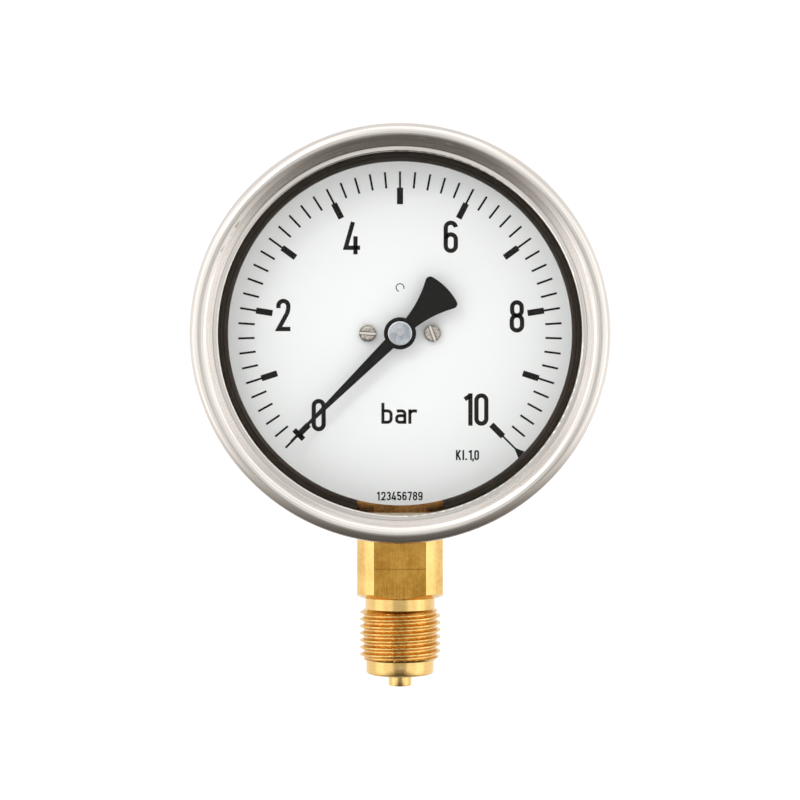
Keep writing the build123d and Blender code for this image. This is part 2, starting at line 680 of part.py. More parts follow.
def make_plate_screws():
    screws = []
    top = FRONT_PLATE_FRONT + PLATE_HEAD_HIGH
    for index, at in enumerate(PILLARS):
        head = bar(PLATE_HEAD_R, FRONT_PLATE_FRONT, top, at)
        shank = bar(PLATE_SCREW_R, FRONT_PLATE_REAR - PLATE_SCREW_GRIP, FRONT_PLATE_FRONT, at)
        slot = slot_cut(PLATE_SLOT, PLATE_SLOT, 3 * PLATE_HEAD_R, top, 25 + 50 * index, at)
        screws.append(head + shank - slot)
    return group(screws)


def make_dial_posts():
    posts = []
    for side in (-1, 1):
        at = (side * DIAL_SCREW_X, 0)
        post = bar(POST_R, FRONT_PLATE_FRONT, DIAL_BACK, at)
        post += bar(POST_TENON_R, FRONT_PLATE_REAR, FRONT_PLATE_FRONT, at)
        depth = DIAL_FRONT - DIAL_SCREW_GRIP - PASS
        posts.append(post - bar(DIAL_SCREW_R + FIT, depth, DIAL_BACK, at))
    return group(posts)


def movement_screw_shape(at, extra=0.0):
    """Countersunk screw, in through the back plate."""
    neck = BACK_PLATE_FRONT - (MOVEMENT_HEAD_R - MOVEMENT_SCREW_R)
    shape = taper(MOVEMENT_SCREW_R + extra, MOVEMENT_HEAD_R + extra, neck, BACK_PLATE_FRONT, at)
    end = BACK_PLATE_REAR - MOVEMENT_SCREW_GRIP
    return shape + bar(MOVEMENT_SCREW_R + extra, end, neck, at)


def make_movement_screws():
    screws = []
    for at in MOVEMENT_SCREWS:
        long = 3 * MOVEMENT_HEAD_R
        slot = slot_cut(MOVEMENT_SLOT_WIDE, MOVEMENT_SLOT_DEEP, long, BACK_PLATE_FRONT, 40, at)
        screws.append(movement_screw_shape(at) - slot)
    return group(screws)


def spring_radius(half_turns):
    """Radius of the hairspring's middle line after so many half turns."""
    return COLLET_R + SPRING_STRIP / 2 + FIT + SPRING_PITCH * half_turns / 2


def make_hairspring():
    """Spiral of half circles: each has the next radius, and its centre is shifted to meet the last."""
    lines = []
    for index in range(2 * SPRING_TURNS):
        here = spring_radius(index)
        there = spring_radius(index + 1)
        side = 1 if index % 2 == 0 else -1
        start = (side * here, 0)
        end = (-side * there, 0)
        middle = ((start[0] + end[0]) / 2, side * (here + there) / 2)
        lines.append(ThreePointArc(start, middle, end))
    strip = trace(lines, SPRING_STRIP)
    low = COLLET_BACK + (COLLET_HIGH - SPRING_WIDE) / 2
    return slab(strip, low, low + SPRING_WIDE)


def make_hairspring_collet():
    return pipe(ARBOR_R + FIT, COLLET_R, COLLET_BACK, COLLET_BACK + COLLET_HIGH)


def make_hairspring_stud():
    outer_end = spring_radius(2 * SPRING_TURNS)
    middle = outer_end + (SPRING_STRIP + STUD_LONG) / 2 + FIT
    high = FRONT_PLATE_REAR - COLLET_BACK
    return Pos(middle, 0, COLLET_BACK) * Box(STUD_LONG, STUD_WIDE, high, align=BAR_UP)


# ---------------------------------------------------------------- Bourdon tube
def tube_section(extra=0.0):
    """Flat-sided oval across the tube, at its radius and depth."""
    oval = SlotOverall(TUBE_WIDE + 2 * extra, TUBE_FLAT + 2 * extra, rotation=90)
    return Plane.XZ * (Pos(TUBE_R, TUBE_DEPTH) * oval)


def tube_arc():
    return TUBE_START + 360 - TUBE_END


def make_bourdon_tube():
    outside = revolve(tube_section(), axis=Axis.Z, revolution_arc=tube_arc())
    inside = revolve(tube_section(-TUBE_WALL), axis=Axis.Z, revolution_arc=tube_arc())
    return Rot(0, 0, TUBE_END) * (outside - inside)


def make_tube_end_piece():
    half = TUBE_FLAT / 2 + END_PIECE_PROUD
    low = TUBE_DEPTH - TUBE_WIDE / 2 - END_PIECE_PROUD
    middle = TUBE_END - END_PIECE_ARC / 2
    cap = ring_sector(TUBE_R - half, TUBE_R + half, low, SECTOR_FRONT, middle, END_PIECE_ARC)
    root = polar(TUBE_R, middle)
    eyes = [Pos(*at) * Circle(LUG_EYE_R) for at in (LINK_PIN, root)]
    lug = slab(make_hull([*eyes[0].edges(), *eyes[1].edges()]), SECTOR_BACK, SECTOR_FRONT)
    return cap + lug - bar(PIN_R + FIT, SECTOR_BACK, SECTOR_FRONT, LINK_PIN)


# ---------------------------------------------------------------- socket
def upright(radius, low, high, at=(0, 0)):
    """Round bar along the stem, in the row frame."""
    return Pos(at[0], at[1], low) * Cylinder(radius, high - low, align=BAR_UP)


def make_stem():
    """Turned end of the socket: spigot, pilot, thread blank, undercut and the turned square."""
    outline = Polyline(
        (0, -SPIGOT_LONG),
        (SPIGOT_R - SPIGOT_CHAMFER, -SPIGOT_LONG),
        (SPIGOT_R, SPIGOT_CHAMFER - SPIGOT_LONG),
        (SPIGOT_R, 0),
        (PILOT_R - PILOT_CHAMFER, 0),
        (PILOT_R, PILOT_CHAMFER),
        (PILOT_R, PILOT_LONG),
        (THREAD_R, PILOT_LONG),
        (THREAD_R, THREAD_TOP),
        (UNDERCUT_R, THREAD_TOP),
        (UNDERCUT_R, UNDERCUT_TOP),
        (0, UNDERCUT_TOP),
        close=True,
    )
    turned = spun(make_face(outline.edges()))
    rise = (CORNER_R - STEM_CHAMFER_R) * tan(radians(STEM_CHAMFER))
    cone = Pos(0, 0, UNDERCUT_TOP) * Cone(STEM_CHAMFER_R, CORNER_R, rise, align=BAR_UP)
    blank = cone + upright(CORNER_R, UNDERCUT_TOP + rise, STEM_TOP)
    square = Pos(0, 0, UNDERCUT_TOP) * Box(SQUARE, SQUARE, NECK_LOW - UNDERCUT_TOP, align=BAR_UP)
    square += Pos(0, 0, NECK_LOW) * Box(NECK, NECK, STEM_TOP - NECK_LOW, align=BAR_UP)
    return turned + (blank & square)


def make_thread_groove():
    """Helical groove with 55 degree flanks; what is left between its turns is the crest."""
    root_half = THREAD_PITCH / 12
    over = 0.1
    root_r = THREAD_R - THREAD_DEPTH
    widen = (THREAD_DEPTH + over) * tan(radians(THREAD_ANGLE / 2))
    start = PILOT_LONG - THREAD_PITCH
    turns = int((THREAD_TOP - start) / THREAD_PITCH) + 1
    path = Pos(0, 0, start) * Helix(THREAD_PITCH, turns * THREAD_PITCH, root_r)
    section = Polyline(
        (0, -root_half),
        (THREAD_DEPTH + over, -root_half - widen),
        (THREAD_DEPTH + over, root_half + widen),
        (0, root_half),
        close=True,
    )
    plane = Plane(origin=path @ 0, x_dir=(1, 0, 0), z_dir=(0, -1, 0))
    return sweep(plane * make_face(section.edges()), path=path, is_frenet=True)


def make_socket():
    block_top = DIAL_HEIGHT + BLOCK_TOP
    tongue_top = DIAL_HEIGHT + TONGUE_TOP
    block = Pos(0, 0, STEM_TOP) * Box(SQUARE, SQUARE, block_top - STEM_TOP, align=BAR_UP)
    block = chamfer(block.edges(), BLOCK_EDGE)
    tongue_deep = BLOCK_HALF + BACK_PLATE_REAR
    tongue_mid = -BACK_PLATE_REAR + tongue_deep / 2
    tongue_low = block_top - BLOCK_EDGE * 2
    tongue = Pos(0, tongue_mid, tongue_low)
    tongue *= Box(2 * TONGUE_HALF, tongue_deep, tongue_top - tongue_low, align=BAR_UP)
    socket = make_stem() + block + tongue - make_thread_groove()
    restrictor_low = PORT_DEEP - SPIGOT_LONG
    restrictor_top = restrictor_low + RESTRICTOR_LONG
    tube_root = polar(TUBE_R, TUBE_START)
    riser_top = DIAL_HEIGHT + tube_root[1]
    socket -= upright(PORT_R, -SPIGOT_LONG, restrictor_low)
    socket -= upright(RESTRICTOR_R, restrictor_low, restrictor_top)
    socket -= upright(RISER_R, restrictor_top, riser_top)
    pocket = revolve(tube_section(SOLDER_GAP), axis=Axis.Z, revolution_arc=tube_arc())
    drill = Vector(tube_root[0], tube_root[1], TUBE_DEPTH) - Vector(0, tube_root[1], 0)
    drilled = Plane(origin=(0, tube_root[1], 0), z_dir=drill)
    drilled *= Cylinder(RISER_R, drill.length + 0.5, align=BAR_UP)
    cuts = Rot(0, 0, TUBE_END) * pocket + drilled
    for at in CASE_SCREWS:
        end = -BLOCK_HALF + CASE_SCREW_GRIP + PASS
        cuts += bar(CASE_SCREW_R + FIT, -BLOCK_HALF - 1, end, at)
    for at in MOVEMENT_SCREWS:
        end = BACK_PLATE_REAR - MOVEMENT_SCREW_GRIP - PASS
        cuts += bar(MOVEMENT_SCREW_R + FIT, end, BACK_PLATE_REAR + 1, at)
    return socket - DIAL * cuts


def make_restrictor_screw():
    low = PORT_DEEP - SPIGOT_LONG
    screw = upright(RESTRICTOR_R - FIT, low, low + RESTRICTOR_LONG)
    screw -= upright(RESTRICTOR_HOLE_R, low, low + RESTRICTOR_LONG)
    slot = Box(4 * RESTRICTOR_R, RESTRICTOR_SLOT_WIDE, 2 * RESTRICTOR_SLOT_DEEP)
    return screw - Pos(0, 0, low) * slot


def make_stem_seal():
    gap = STEM_GAP / 2
    outline = RectangleRounded(2 * SEAL_HALF, 2 * SEAL_HALF, SEAL_CORNER)
    outline -= Rectangle(NECK + gap, NECK + gap) & Circle(CORNER_R + gap)
    return Pos(0, 0, STEM_TOP - SEAL_THICK) * extrude(outline, SEAL_THICK)


# ---------------------------------------------------------------- all nodes
DIAL_FRAME_NODES = {
    "case": make_case,
    "case_screws": make_case_screws,
    "case_spacers": make_case_spacers,
    "blow_out_plug": make_blow_out_plug,
    "bayonet_ring": make_bayonet_ring,
    "window": make_window,
    "window_gasket": make_window_gasket,
    "dial": make_dial,
    "dial_screws": make_dial_screws,
    "dial_posts": make_dial_posts,
    "pointer": make_pointer,
    "pointer_bush": make_pointer_bush,
    "pinion_arbor": make_pinion_arbor,
    "sector_gear": make_sector_gear,
    "sector_arbor": make_sector_arbor,
    "tail_pin": make_tail_pin,
    "link": make_link,
    "tip_pin": make_tip_pin,
    "tube_end_piece": make_tube_end_piece,
    "bourdon_tube": make_bourdon_tube,
    "back_plate": make_back_plate,
    "front_plate": make_front_plate,
    "pillars": make_pillars,
    "plate_screws": make_plate_screws,
    "movement_screws": make_movement_screws,
    "hairspring": make_hairspring,
    "hairspring_collet": make_hairspring_collet,
    "hairspring_stud": make_hairspring_stud,
}

ROW_FRAME_NODES = {
    "socket": make_socket,
    "restrictor_screw": make_restrictor_screw,
    "stem_seal": make_stem_seal,
}


def main():
    os.makedirs("parts", exist_ok=True)
    for name, make in DIAL_FRAME_NODES.items():
        export_step(DIAL * make(), f"parts/{name}.step")
    for name, make in ROW_FRAME_NODES.items():
        export_step(make(), f"parts/{name}.step")
    print("sector pivot", SECTOR_PIVOT, "tail pin", TAIL_PIN)


main()
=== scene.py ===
# %% [markdown]
# # A dial pressure gauge
#
# The CAD model has already measured this gauge and hung its moving parts on joints. Here every
# piece gets the surface that the real one has: turned brass, brushed stainless steel, stoved
# white paint, printed black scale. Two kinds of work alternate below. A CAD node whose shape is
# right only gets a finish. A piece that needs finer detail than the CAD has is worked out again
# with numpy, and hides the node that it stands for.
#
# First the frame is loaded. Everything after this reads its places from it, so nothing is fitted
# by eye.

# %% Load the frame
import bpy
import bmesh
import json
import math
import numpy as np
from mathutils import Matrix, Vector


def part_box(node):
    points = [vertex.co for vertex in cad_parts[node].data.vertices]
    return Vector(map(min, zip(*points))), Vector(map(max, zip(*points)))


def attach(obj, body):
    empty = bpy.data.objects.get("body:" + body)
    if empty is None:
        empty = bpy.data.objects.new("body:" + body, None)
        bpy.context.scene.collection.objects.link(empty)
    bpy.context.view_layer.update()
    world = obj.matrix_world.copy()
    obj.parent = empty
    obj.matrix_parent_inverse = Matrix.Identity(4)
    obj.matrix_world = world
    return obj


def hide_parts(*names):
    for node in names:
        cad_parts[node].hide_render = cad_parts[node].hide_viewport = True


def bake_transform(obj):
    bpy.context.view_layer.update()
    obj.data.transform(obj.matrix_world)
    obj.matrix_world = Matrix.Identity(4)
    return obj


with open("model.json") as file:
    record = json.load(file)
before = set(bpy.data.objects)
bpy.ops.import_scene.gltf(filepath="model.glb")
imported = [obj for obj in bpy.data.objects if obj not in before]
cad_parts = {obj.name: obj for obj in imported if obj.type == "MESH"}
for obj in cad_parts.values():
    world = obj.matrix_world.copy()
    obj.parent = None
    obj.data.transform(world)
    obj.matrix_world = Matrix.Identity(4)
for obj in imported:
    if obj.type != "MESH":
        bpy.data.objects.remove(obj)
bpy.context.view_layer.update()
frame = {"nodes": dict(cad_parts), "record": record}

print("nodes", len(frame["nodes"]))

# %% [markdown]
# The dial is the gauge's own drawing board: its centre is the pointer's axis, and the reader
# looks along +Y. Its box gives that centre, its radius and the depth of its face.

# %% The dial's centre and the sizes that finishes and pieces share
MM = 0.001
dial_low, dial_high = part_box("dial")
DIAL_X = (dial_low.x + dial_high.x) / 2
DIAL_Z = (dial_low.z + dial_high.z) / 2
DIAL_R = (dial_high.x - dial_low.x) / 2 / MM
DIAL_FACE = -dial_low.y / MM
mounts = {mount["name"]: mount for mount in frame["record"]["mounts"]}
socket_low, socket_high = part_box("socket")
THREAD_R = mounts["process_thread"]["dims"]["r_mm"]
SQUARE_HALF = -socket_low.y / MM
case_low, case_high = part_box("case")
CASE_R = (case_high.x - case_low.x) / 2 / MM
UNDERCUT_TOP = 20.0    # heights and radii on the stem, in millimetres
CORNER_R = 12.85
FLAT_HALF = math.sqrt(CORNER_R**2 - SQUARE_HALF**2)
BLOCK_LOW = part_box("stem_seal")[1].z / MM
SCRIBE_Z = 27.9
HEAD_R, KNURLS = 2.2, 26    # the dial's screws
SLOT_TURNS = (-3.0, -70.0)
screw_low, screw_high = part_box("dial_screws")
SCREW_X = (screw_high.x - screw_low.x) / 2 / MM - HEAD_R
BEAD_WIDE = 5.7    # from the ring's crease to its rim
CREASE_R = (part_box("bayonet_ring")[1].x - DIAL_X) / MM - BEAD_WIDE
print("dial radius", round(DIAL_R, 3), "face at depth", round(DIAL_FACE, 3))
print("thread radius", THREAD_R, "case radius", round(CASE_R, 3))


# %% [markdown]
# ## Surfaces from arrays
#
# Each new surface is a grid of points, worked out as one numpy array. Four neighbours make a
# face. Grids that share a border are welded afterwards, which also closes seams and gathers a
# pole's many points into one, and the normals are then turned outwards. A weld is simpler than
# counting shared points by hand, and it can't leave a gap.

# %% From grids of points to a closed piece
def grid_faces(rows, columns, first):
    """Corner numbers of the quads between neighbouring rows and columns of a grid."""
    corner = first + np.arange(rows * columns).reshape(rows, columns)
    quads = np.stack([corner[:-1, :-1], corner[:-1, 1:], corner[1:, 1:], corner[1:, :-1]], -1)
    return quads.reshape(-1, 4)


WELD = 0.0005


def make_piece(name, grids, body, slot, crease=30.0):
    """Grids of points in millimetres become one welded mesh that rides on a body."""
    points, faces, first = [], [], 0
    for grid in grids:
        rows, columns = grid.shape[:2]
        points.append(grid.reshape(-1, 3) * MM)
        faces.append(grid_faces(rows, columns, first))
        first += rows * columns
    points, faces = np.concatenate(points), np.concatenate(faces)
    mesh = bpy.data.meshes.new(name)
    mesh.vertices.add(len(points))
    mesh.vertices.foreach_set("co", points.ravel())
    mesh.loops.add(faces.size)
    mesh.loops.foreach_set("vertex_index", faces.ravel())
    mesh.polygons.add(len(faces))
    mesh.polygons.foreach_set("loop_start", np.arange(0, faces.size, 4))
    mesh.update(calc_edges=True)
    shell = bmesh.new()
    shell.from_mesh(mesh)
    bmesh.ops.remove_doubles(shell, verts=shell.verts, dist=WELD * MM)
    bmesh.ops.recalc_face_normals(shell, faces=shell.faces)
    open_edges = sum(not edge.is_manifold for edge in shell.edges)
    shell.to_mesh(mesh)
    shell.free()
    mesh.polygons.foreach_set("use_smooth", np.ones(len(mesh.polygons), bool))
    mesh.set_sharp_from_angle(angle=math.radians(crease))
    piece = bpy.data.objects.new(name, mesh)
    bpy.context.scene.collection.objects.link(piece)
    if body:
        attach(piece, body)
    mesh.materials.append(FINISHES[slot])
    print(name, len(mesh.polygons), "faces,", open_edges, "open edges")
    return piece


# %% [markdown]
# ## Finishes
#
# A finish is a small tree of shader nodes. Written out node by node such a tree is long, so one
# class wraps a socket: adding or multiplying two of them adds the Math node that does it. Every
# other node comes from one method, which takes its type, its settings and what goes into it.

# %% Sockets that can be added and multiplied
class Value:
    """An output socket. Arithmetic on it adds a Math node to its tree."""

    def __init__(self, paint, socket):
        self.paint = paint
        self.socket = socket

    def maths(self, operation, *values):
        inputs = dict(enumerate(values))
        return self.paint.node("ShaderNodeMath", {"operation": operation}, inputs)

    def size(self):
        return self.maths("ABSOLUTE", self)

    def __add__(self, other):
        return self.maths("ADD", self, other)

    def __radd__(self, other):
        return self.maths("ADD", other, self)

    def __sub__(self, other):
        return self.maths("SUBTRACT", self, other)

    def __rsub__(self, other):
        return self.maths("SUBTRACT", other, self)

    def __mul__(self, other):
        return self.maths("MULTIPLY", self, other)

    def __rmul__(self, other):
        return self.maths("MULTIPLY", other, self)

    def __truediv__(self, other):
        return self.maths("DIVIDE", self, other)

    def __pow__(self, other):
        return self.maths("POWER", self, other)


class Paint:
    """A node tree that is being filled."""

    def __init__(self, tree):
        self.tree = tree
        tree.nodes.clear()

    def node(self, kind, settings=None, inputs=None, output=0):
        """Adds a node: its settings first, then the values or links of its sockets."""
        made = self.tree.nodes.new(kind)
        for key, value in (settings or {}).items():
            setattr(made, key, value)
        for key, value in (inputs or {}).items():
            if isinstance(value, Value):
                self.tree.links.new(value.socket, made.inputs[key])
            else:
                made.inputs[key].default_value = value
        return Value(self, made.outputs[output]) if made.outputs else made

    def place(self):
        """The point's x, y and z in metres, in the row frame."""
        return self.parts(self.node("ShaderNodeTexCoord", output="Object"))

    def parts(self, vector):
        """The x, y and z of a vector."""
        kind = "ShaderNodeSeparateXYZ"
        return [self.node(kind, inputs={0: vector}, output=axis) for axis in range(3)]

    def vector(self, x, y, z):
        return self.node("ShaderNodeCombineXYZ", inputs={0: x, 1: y, 2: z})

    def noise(self, vector, scale, detail=2.0, rough=0.5):
        sockets = {"Vector": vector, "Scale": scale, "Detail": detail, "Roughness": rough}
        return self.node("ShaderNodeTexNoise", inputs=sockets)

    def lines(self, first, second, angle, fine, long, detail=2.0, rough=0.6):
        """Noise that is fine in two directions and long round a circle. The angle goes in as its
        cosine and its sine, the latter as a fourth dimension, so that the circle has no seam."""
        cos, sin = angle.maths("COSINE", angle) * long, angle.maths("SINE", angle) * long
        sockets = {"Vector": self.vector(first * fine, second * fine, cos), "W": sin,
                   "Scale": 1.0, "Detail": detail, "Roughness": rough}
        return self.node("ShaderNodeTexNoise", {"noise_dimensions": "4D"}, sockets)

    def step(self, value, low, high, out_low=0.0, out_high=1.0):
        """Smooth step of a value from one level to another."""
        sockets = {0: value, 1: low, 2: high, 3: out_low, 4: out_high}
        return self.node("ShaderNodeMapRange", {"interpolation_type": "SMOOTHSTEP"}, sockets)

    def blend(self, mask, first, second):
        """Mixes two colours by a mask."""
        sockets = {0: mask, 6: first, 7: second}
        return self.node("ShaderNodeMix", {"data_type": "RGBA"}, sockets, output=2)

    def bump(self, height, distance, strength=1.0):
        sockets = {"Height": height, "Distance": distance, "Strength": strength}
        return self.node("ShaderNodeBump", inputs=sockets)


def finish(name, recipe, **constants):
    """A material: its varying sockets come from a recipe, the others are constants."""
    material = bpy.data.materials.new(name)
    material.use_nodes = True
    paint = Paint(material.node_tree)
    sockets = dict(constants)
    sockets.update(recipe(paint))
    shader = paint.node("ShaderNodeBsdfPrincipled", inputs=sockets)
    paint.node("ShaderNodeOutputMaterial", inputs={"Surface": shader})
    return material


# %% [markdown]
# Rolled, drawn and turned metal carries the lines of its making. On the ring and the case they
# run round the dial's axis, on the stem round the stem. So the noise that draws them is
# stretched: it is read at the radius and the height times a large number, and at the angle's
# cosine and sine times a small one. Read at the angle itself, the lines would break where it
# jumps from 180 to -180 degrees.

# %% Coordinates round the dial and round the stem
def round_dial(paint):
    """Radius from the pointer's axis, angle round it, and depth, in metres and radians."""
    x, y, z = paint.place()
    across, up = x - DIAL_X, z - DIAL_Z
    radius = (across * across + up * up) ** 0.5
    return radius, up.maths("ARCTAN2", up, across), y


def round_stem(paint):
    """Radius from the stem's axis, angle round it, and height."""
    x, y, z = paint.place()
    radius = (x * x + y * y) ** 0.5
    return radius, y.maths("ARCTAN2", y, x), z


def colour(red, green, blue):
    return (red, green, blue, 1.0)


# %% [markdown]
# Stainless steel is light grey and a little warm, and its brushed lines differ in tone as well as
# in height. The crease between the ring's lip and its bead is painted darker, as painted shade.
# Inside the case nobody has brushed the sheet, so it is rougher there and catches more stray light.

# %% Stainless steel, brushed along the circle
def brushed_steel(paint):
    radius, angle, depth = round_dial(paint)
    # Painted shade: a dark line in the crease between the ring's lip and its bead.
    crease_shade = 1.0 - paint.step((radius - CREASE_R * MM).size(), 0.00006, 0.00028)
    lines = paint.lines(radius, depth, angle, 9000.0, 5.0, 3.0, 0.7)
    bands = paint.lines(radius, depth, angle, 2600.0, 2.0)
    tone = paint.step(lines * 0.4 + bands * 0.6, 0.32, 0.68)
    clean = paint.blend(tone, colour(0.64, 0.60, 0.55), colour(0.83, 0.79, 0.74))
    inside = 1.0 - paint.step(radius, (CASE_R - 0.6) * MM, (CASE_R - 0.4) * MM)
    before_back = 1.0 - paint.step(depth, case_high.y - 0.7 * MM, case_high.y - 0.3 * MM)
    within = inside * before_back * paint.step(depth, case_low.y, case_low.y + 0.2 * MM)
    return {
        "Base Color": paint.blend(crease_shade * 0.4, clean, colour(0.20, 0.185, 0.17)),
        "Roughness": 0.17 + 0.12 * lines + 0.38 * within,
        "Normal": paint.bump(lines * 0.5 + bands * 0.5, 0.000016, 0.6),
    }


# %% [markdown]
# The stem's brass shows how each zone was made. Freshly cut faces are pale and bright, and the
# flats keep the deeper colour of the drawn bar and a scribed line. The thread's roots are painted
# darker than its crests, and the block inside the case is painted dark: both are painted shade. A
# mask for each zone, from the radius and the height, blends between their colours.

# %% Brass: bare on the stem, blanked plate in the movement
def turned_brass(paint):
    radius, angle, height = round_stem(paint)
    lines = paint.lines(radius, height, angle, 5000.0, 1.5)
    x, y, z = paint.place()
    mottle = paint.noise(paint.vector(x, y, z), 900.0, 4.0, 0.65)
    cloud = paint.noise(paint.vector(x, y, z), 160.0, 2.0)
    drawing = paint.noise(paint.vector(x * 4000.0, y * 4000.0, z * 120.0), 1.0, 2.0)
    tone = paint.step(mottle * 0.4 + cloud * 0.3 + lines * 0.3, 0.36, 0.64)
    streaks = paint.step(mottle * 0.35 + cloud * 0.35 + drawing * 0.3, 0.38, 0.62)
    wide, deep = x.size(), y.size()
    reach, other = x.maths("MAXIMUM", wide, deep), x.maths("MINIMUM", wide, deep)
    flat = paint.step(reach, (SQUARE_HALF - 0.26) * MM, (SQUARE_HALF - 0.22) * MM)
    flat = flat * (1.0 - paint.step(other, (FLAT_HALF - 0.02) * MM, (FLAT_HALF + 0.02) * MM))
    turned = 1.0 - paint.step(z, (UNDERCUT_TOP - 0.2) * MM, UNDERCUT_TOP * MM)
    in_thread = turned * paint.step(radius, (THREAD_R - 1.30) * MM, (THREAD_R - 1.0) * MM)
    crest = paint.step(radius, (THREAD_R - 0.9) * MM, (THREAD_R - 0.1) * MM)
    cut = paint.blend(tone, colour(0.74, 0.49, 0.17), colour(0.87, 0.60, 0.235))
    corner = paint.blend(streaks, colour(0.72, 0.46, 0.15), colour(0.87, 0.60, 0.22))
    # Painted shade: the thread's roots are darker than its crests.
    root = paint.blend(tone, colour(0.58, 0.32, 0.085), colour(0.82, 0.51, 0.15))
    top = paint.blend(tone, colour(0.68, 0.42, 0.13), colour(0.86, 0.60, 0.22))
    chased = paint.blend(crest, root, top)
    drawn = paint.blend(streaks, colour(0.54, 0.265, 0.04), colour(0.82, 0.455, 0.095))
    scribed = 0.5 - paint.step((z - SCRIBE_Z * MM).size(), 0.00005, 0.0003, 0.0, 0.5)
    drawn = paint.blend(scribed, drawn, colour(0.30, 0.13, 0.02))
    lathed = paint.blend(in_thread, cut, chased)
    bare = paint.blend(turned, paint.blend(flat, corner, drawn), lathed)
    # Painted shade: the block inside the case, behind the dial, is darker.
    hidden = paint.step(z, BLOCK_LOW * MM, (BLOCK_LOW + 0.2) * MM)
    shaded_block = paint.blend(streaks, colour(0.30, 0.125, 0.025), colour(0.48, 0.23, 0.06))
    return {
        "Base Color": paint.blend(hidden, bare, shaded_block),
        "Roughness": paint.step(mottle, 0.3, 0.7, 0.09, 0.18) + 0.12 * flat,
        "Normal": paint.bump(lines * 0.5 + mottle * 0.5, 0.00003, 0.4),
    }


def plate_brass(paint):
    x, y, z = paint.place()
    grain = paint.noise(paint.vector(x * 300.0, y * 4000.0, z * 6000.0), 1.0, 3.0)
    tone = paint.step(grain, 0.35, 0.65)
    return {
        "Base Color": paint.blend(tone, colour(0.62, 0.42, 0.16), colour(0.78, 0.56, 0.25)),
        "Roughness": 0.26 + 0.12 * grain,
        "Normal": paint.bump(grain, 0.00001, 0.4),
    }


def spring_strip(paint):
    x, y, z = paint.place()
    grain = paint.noise(paint.vector(x, y, z), 3000.0, 2.0)
    return {
        "Base Color": paint.blend(grain, colour(0.60, 0.36, 0.18), colour(0.76, 0.50, 0.28)),
        "Roughness": 0.20 + 0.1 * grain,
    }


def drawn_bronze(paint):
    radius, angle, depth = round_dial(paint)
    lines = paint.lines(radius, depth, angle, 5000.0, 3.0)
    cloud = paint.lines(radius, depth, angle, 200.0, 7.0, 3.0)
    return {
        "Base Color": paint.blend(cloud, colour(0.50, 0.26, 0.13), colour(0.74, 0.44, 0.25)),
        "Roughness": 0.24 + 0.16 * lines,
        "Normal": paint.bump(lines, 0.00001, 0.4),
    }


# %% [markdown]
# The dial's screws are too small for their slots and knurls to catch the light as they should, so
# the nickel also carries painted light: a painted highlight on the slot floor, painted shade on
# the slot edges, and a painted dark rim, darkest between the knurls. Each head's own coordinates,
# turned with its slot, say where these are.

# %% Small steel, nickel and aluminium pieces
def bright_steel(paint):
    x, y, z = paint.place()
    grain = paint.noise(paint.vector(x, y, z), 2500.0, 3.0)
    return {
        "Base Color": paint.blend(grain, colour(0.55, 0.55, 0.55), colour(0.72, 0.72, 0.71)),
        "Roughness": 0.20 + 0.15 * grain,
    }


def nickel_plate(paint):
    x, y, z = paint.place()
    grain = paint.noise(paint.vector(x, y, z), 1500.0, 3.0, 0.6)
    tone = paint.step(grain, 0.38, 0.62)
    plain = paint.blend(tone, colour(0.40, 0.36, 0.31), colour(0.76, 0.71, 0.64))
    marks = plain
    for head, turn in zip((-1, 1), SLOT_TURNS):
        u, v = x - (DIAL_X + head * SCREW_X * MM), z - DIAL_Z
        cos, sin = math.cos(math.radians(turn)), math.sin(math.radians(turn))
        off = (v * cos - u * sin).size()
        beside = paint.step(off, 0.00024, 0.00034)
        lip = beside * (1.0 - paint.step(off, 0.00042, 0.00062))
        away = (u * u + v * v) ** 0.5
        near = 1.0 - paint.step(away, HEAD_R * MM, (HEAD_R + 0.1) * MM)
        teeth = v.maths("ARCTAN2", v, u) * KNURLS
        teeth = paint.step(teeth.maths("SINE", teeth), 0.1, 0.7)
        # Painted shade: a dark rim round the head, darkest between the knurls.
        rim = paint.step(away, 0.0015, 0.0020) * (0.35 + 0.65 * teeth)
        marks = paint.blend(near * rim, marks, colour(0.07, 0.06, 0.05))
        # Painted shade along the slot's edges.
        marks = paint.blend(near * lip * 0.85, marks, colour(0.10, 0.085, 0.07))
        # Painted highlight on the slot's floor.
        marks = paint.blend(near * (1.0 - beside), marks, colour(0.93, 0.89, 0.80))
    return {
        "Base Color": marks,
        "Roughness": 0.18 + 0.14 * grain,
        "Normal": paint.bump(grain, 0.00006, 0.5),
    }


def turned_aluminium(paint):
    radius, angle, depth = round_dial(paint)
    lines = paint.lines(radius, depth, angle, 9000.0, 0.8)
    x, y, z = paint.place()
    cloud = paint.noise(paint.vector(x, y, z), 700.0, 3.0)
    tone = paint.step(cloud * 0.7 + lines * 0.3, 0.36, 0.64)
    face = paint.blend(tone, colour(0.44, 0.48, 0.53), colour(0.70, 0.73, 0.76))
    # Painted highlight: a lighter ring at the bush's rim.
    rim = paint.step(radius, 0.00265, 0.0029)
    return {
        "Base Color": paint.blend(rim, face, colour(0.86, 0.88, 0.88)),
        "Roughness": 0.28 + 0.14 * lines,
        "Normal": paint.bump(lines, 0.000008, 0.5),
    }


# %% [markdown]
# The dial is aluminium sheet with stoved white paint: nearly flat, a little uneven in gloss, and
# a trace greener and greyer than paper. The pointer and the print are the same kind of paint in
# black.

# %% Paint, ink, rubber and fibre
def white_paint(paint):
    x, y, z = paint.place()
    flow = paint.noise(paint.vector(x, y, z), 60.0, 3.0)
    peel = paint.noise(paint.vector(x, y, z), 1800.0, 2.0)
    return {
        "Base Color": paint.blend(flow, colour(0.785, 0.805, 0.795), colour(0.810, 0.825, 0.816)),
        "Roughness": 0.42 + 0.1 * peel,
        "Normal": paint.bump(peel, 0.000003, 0.3),
    }


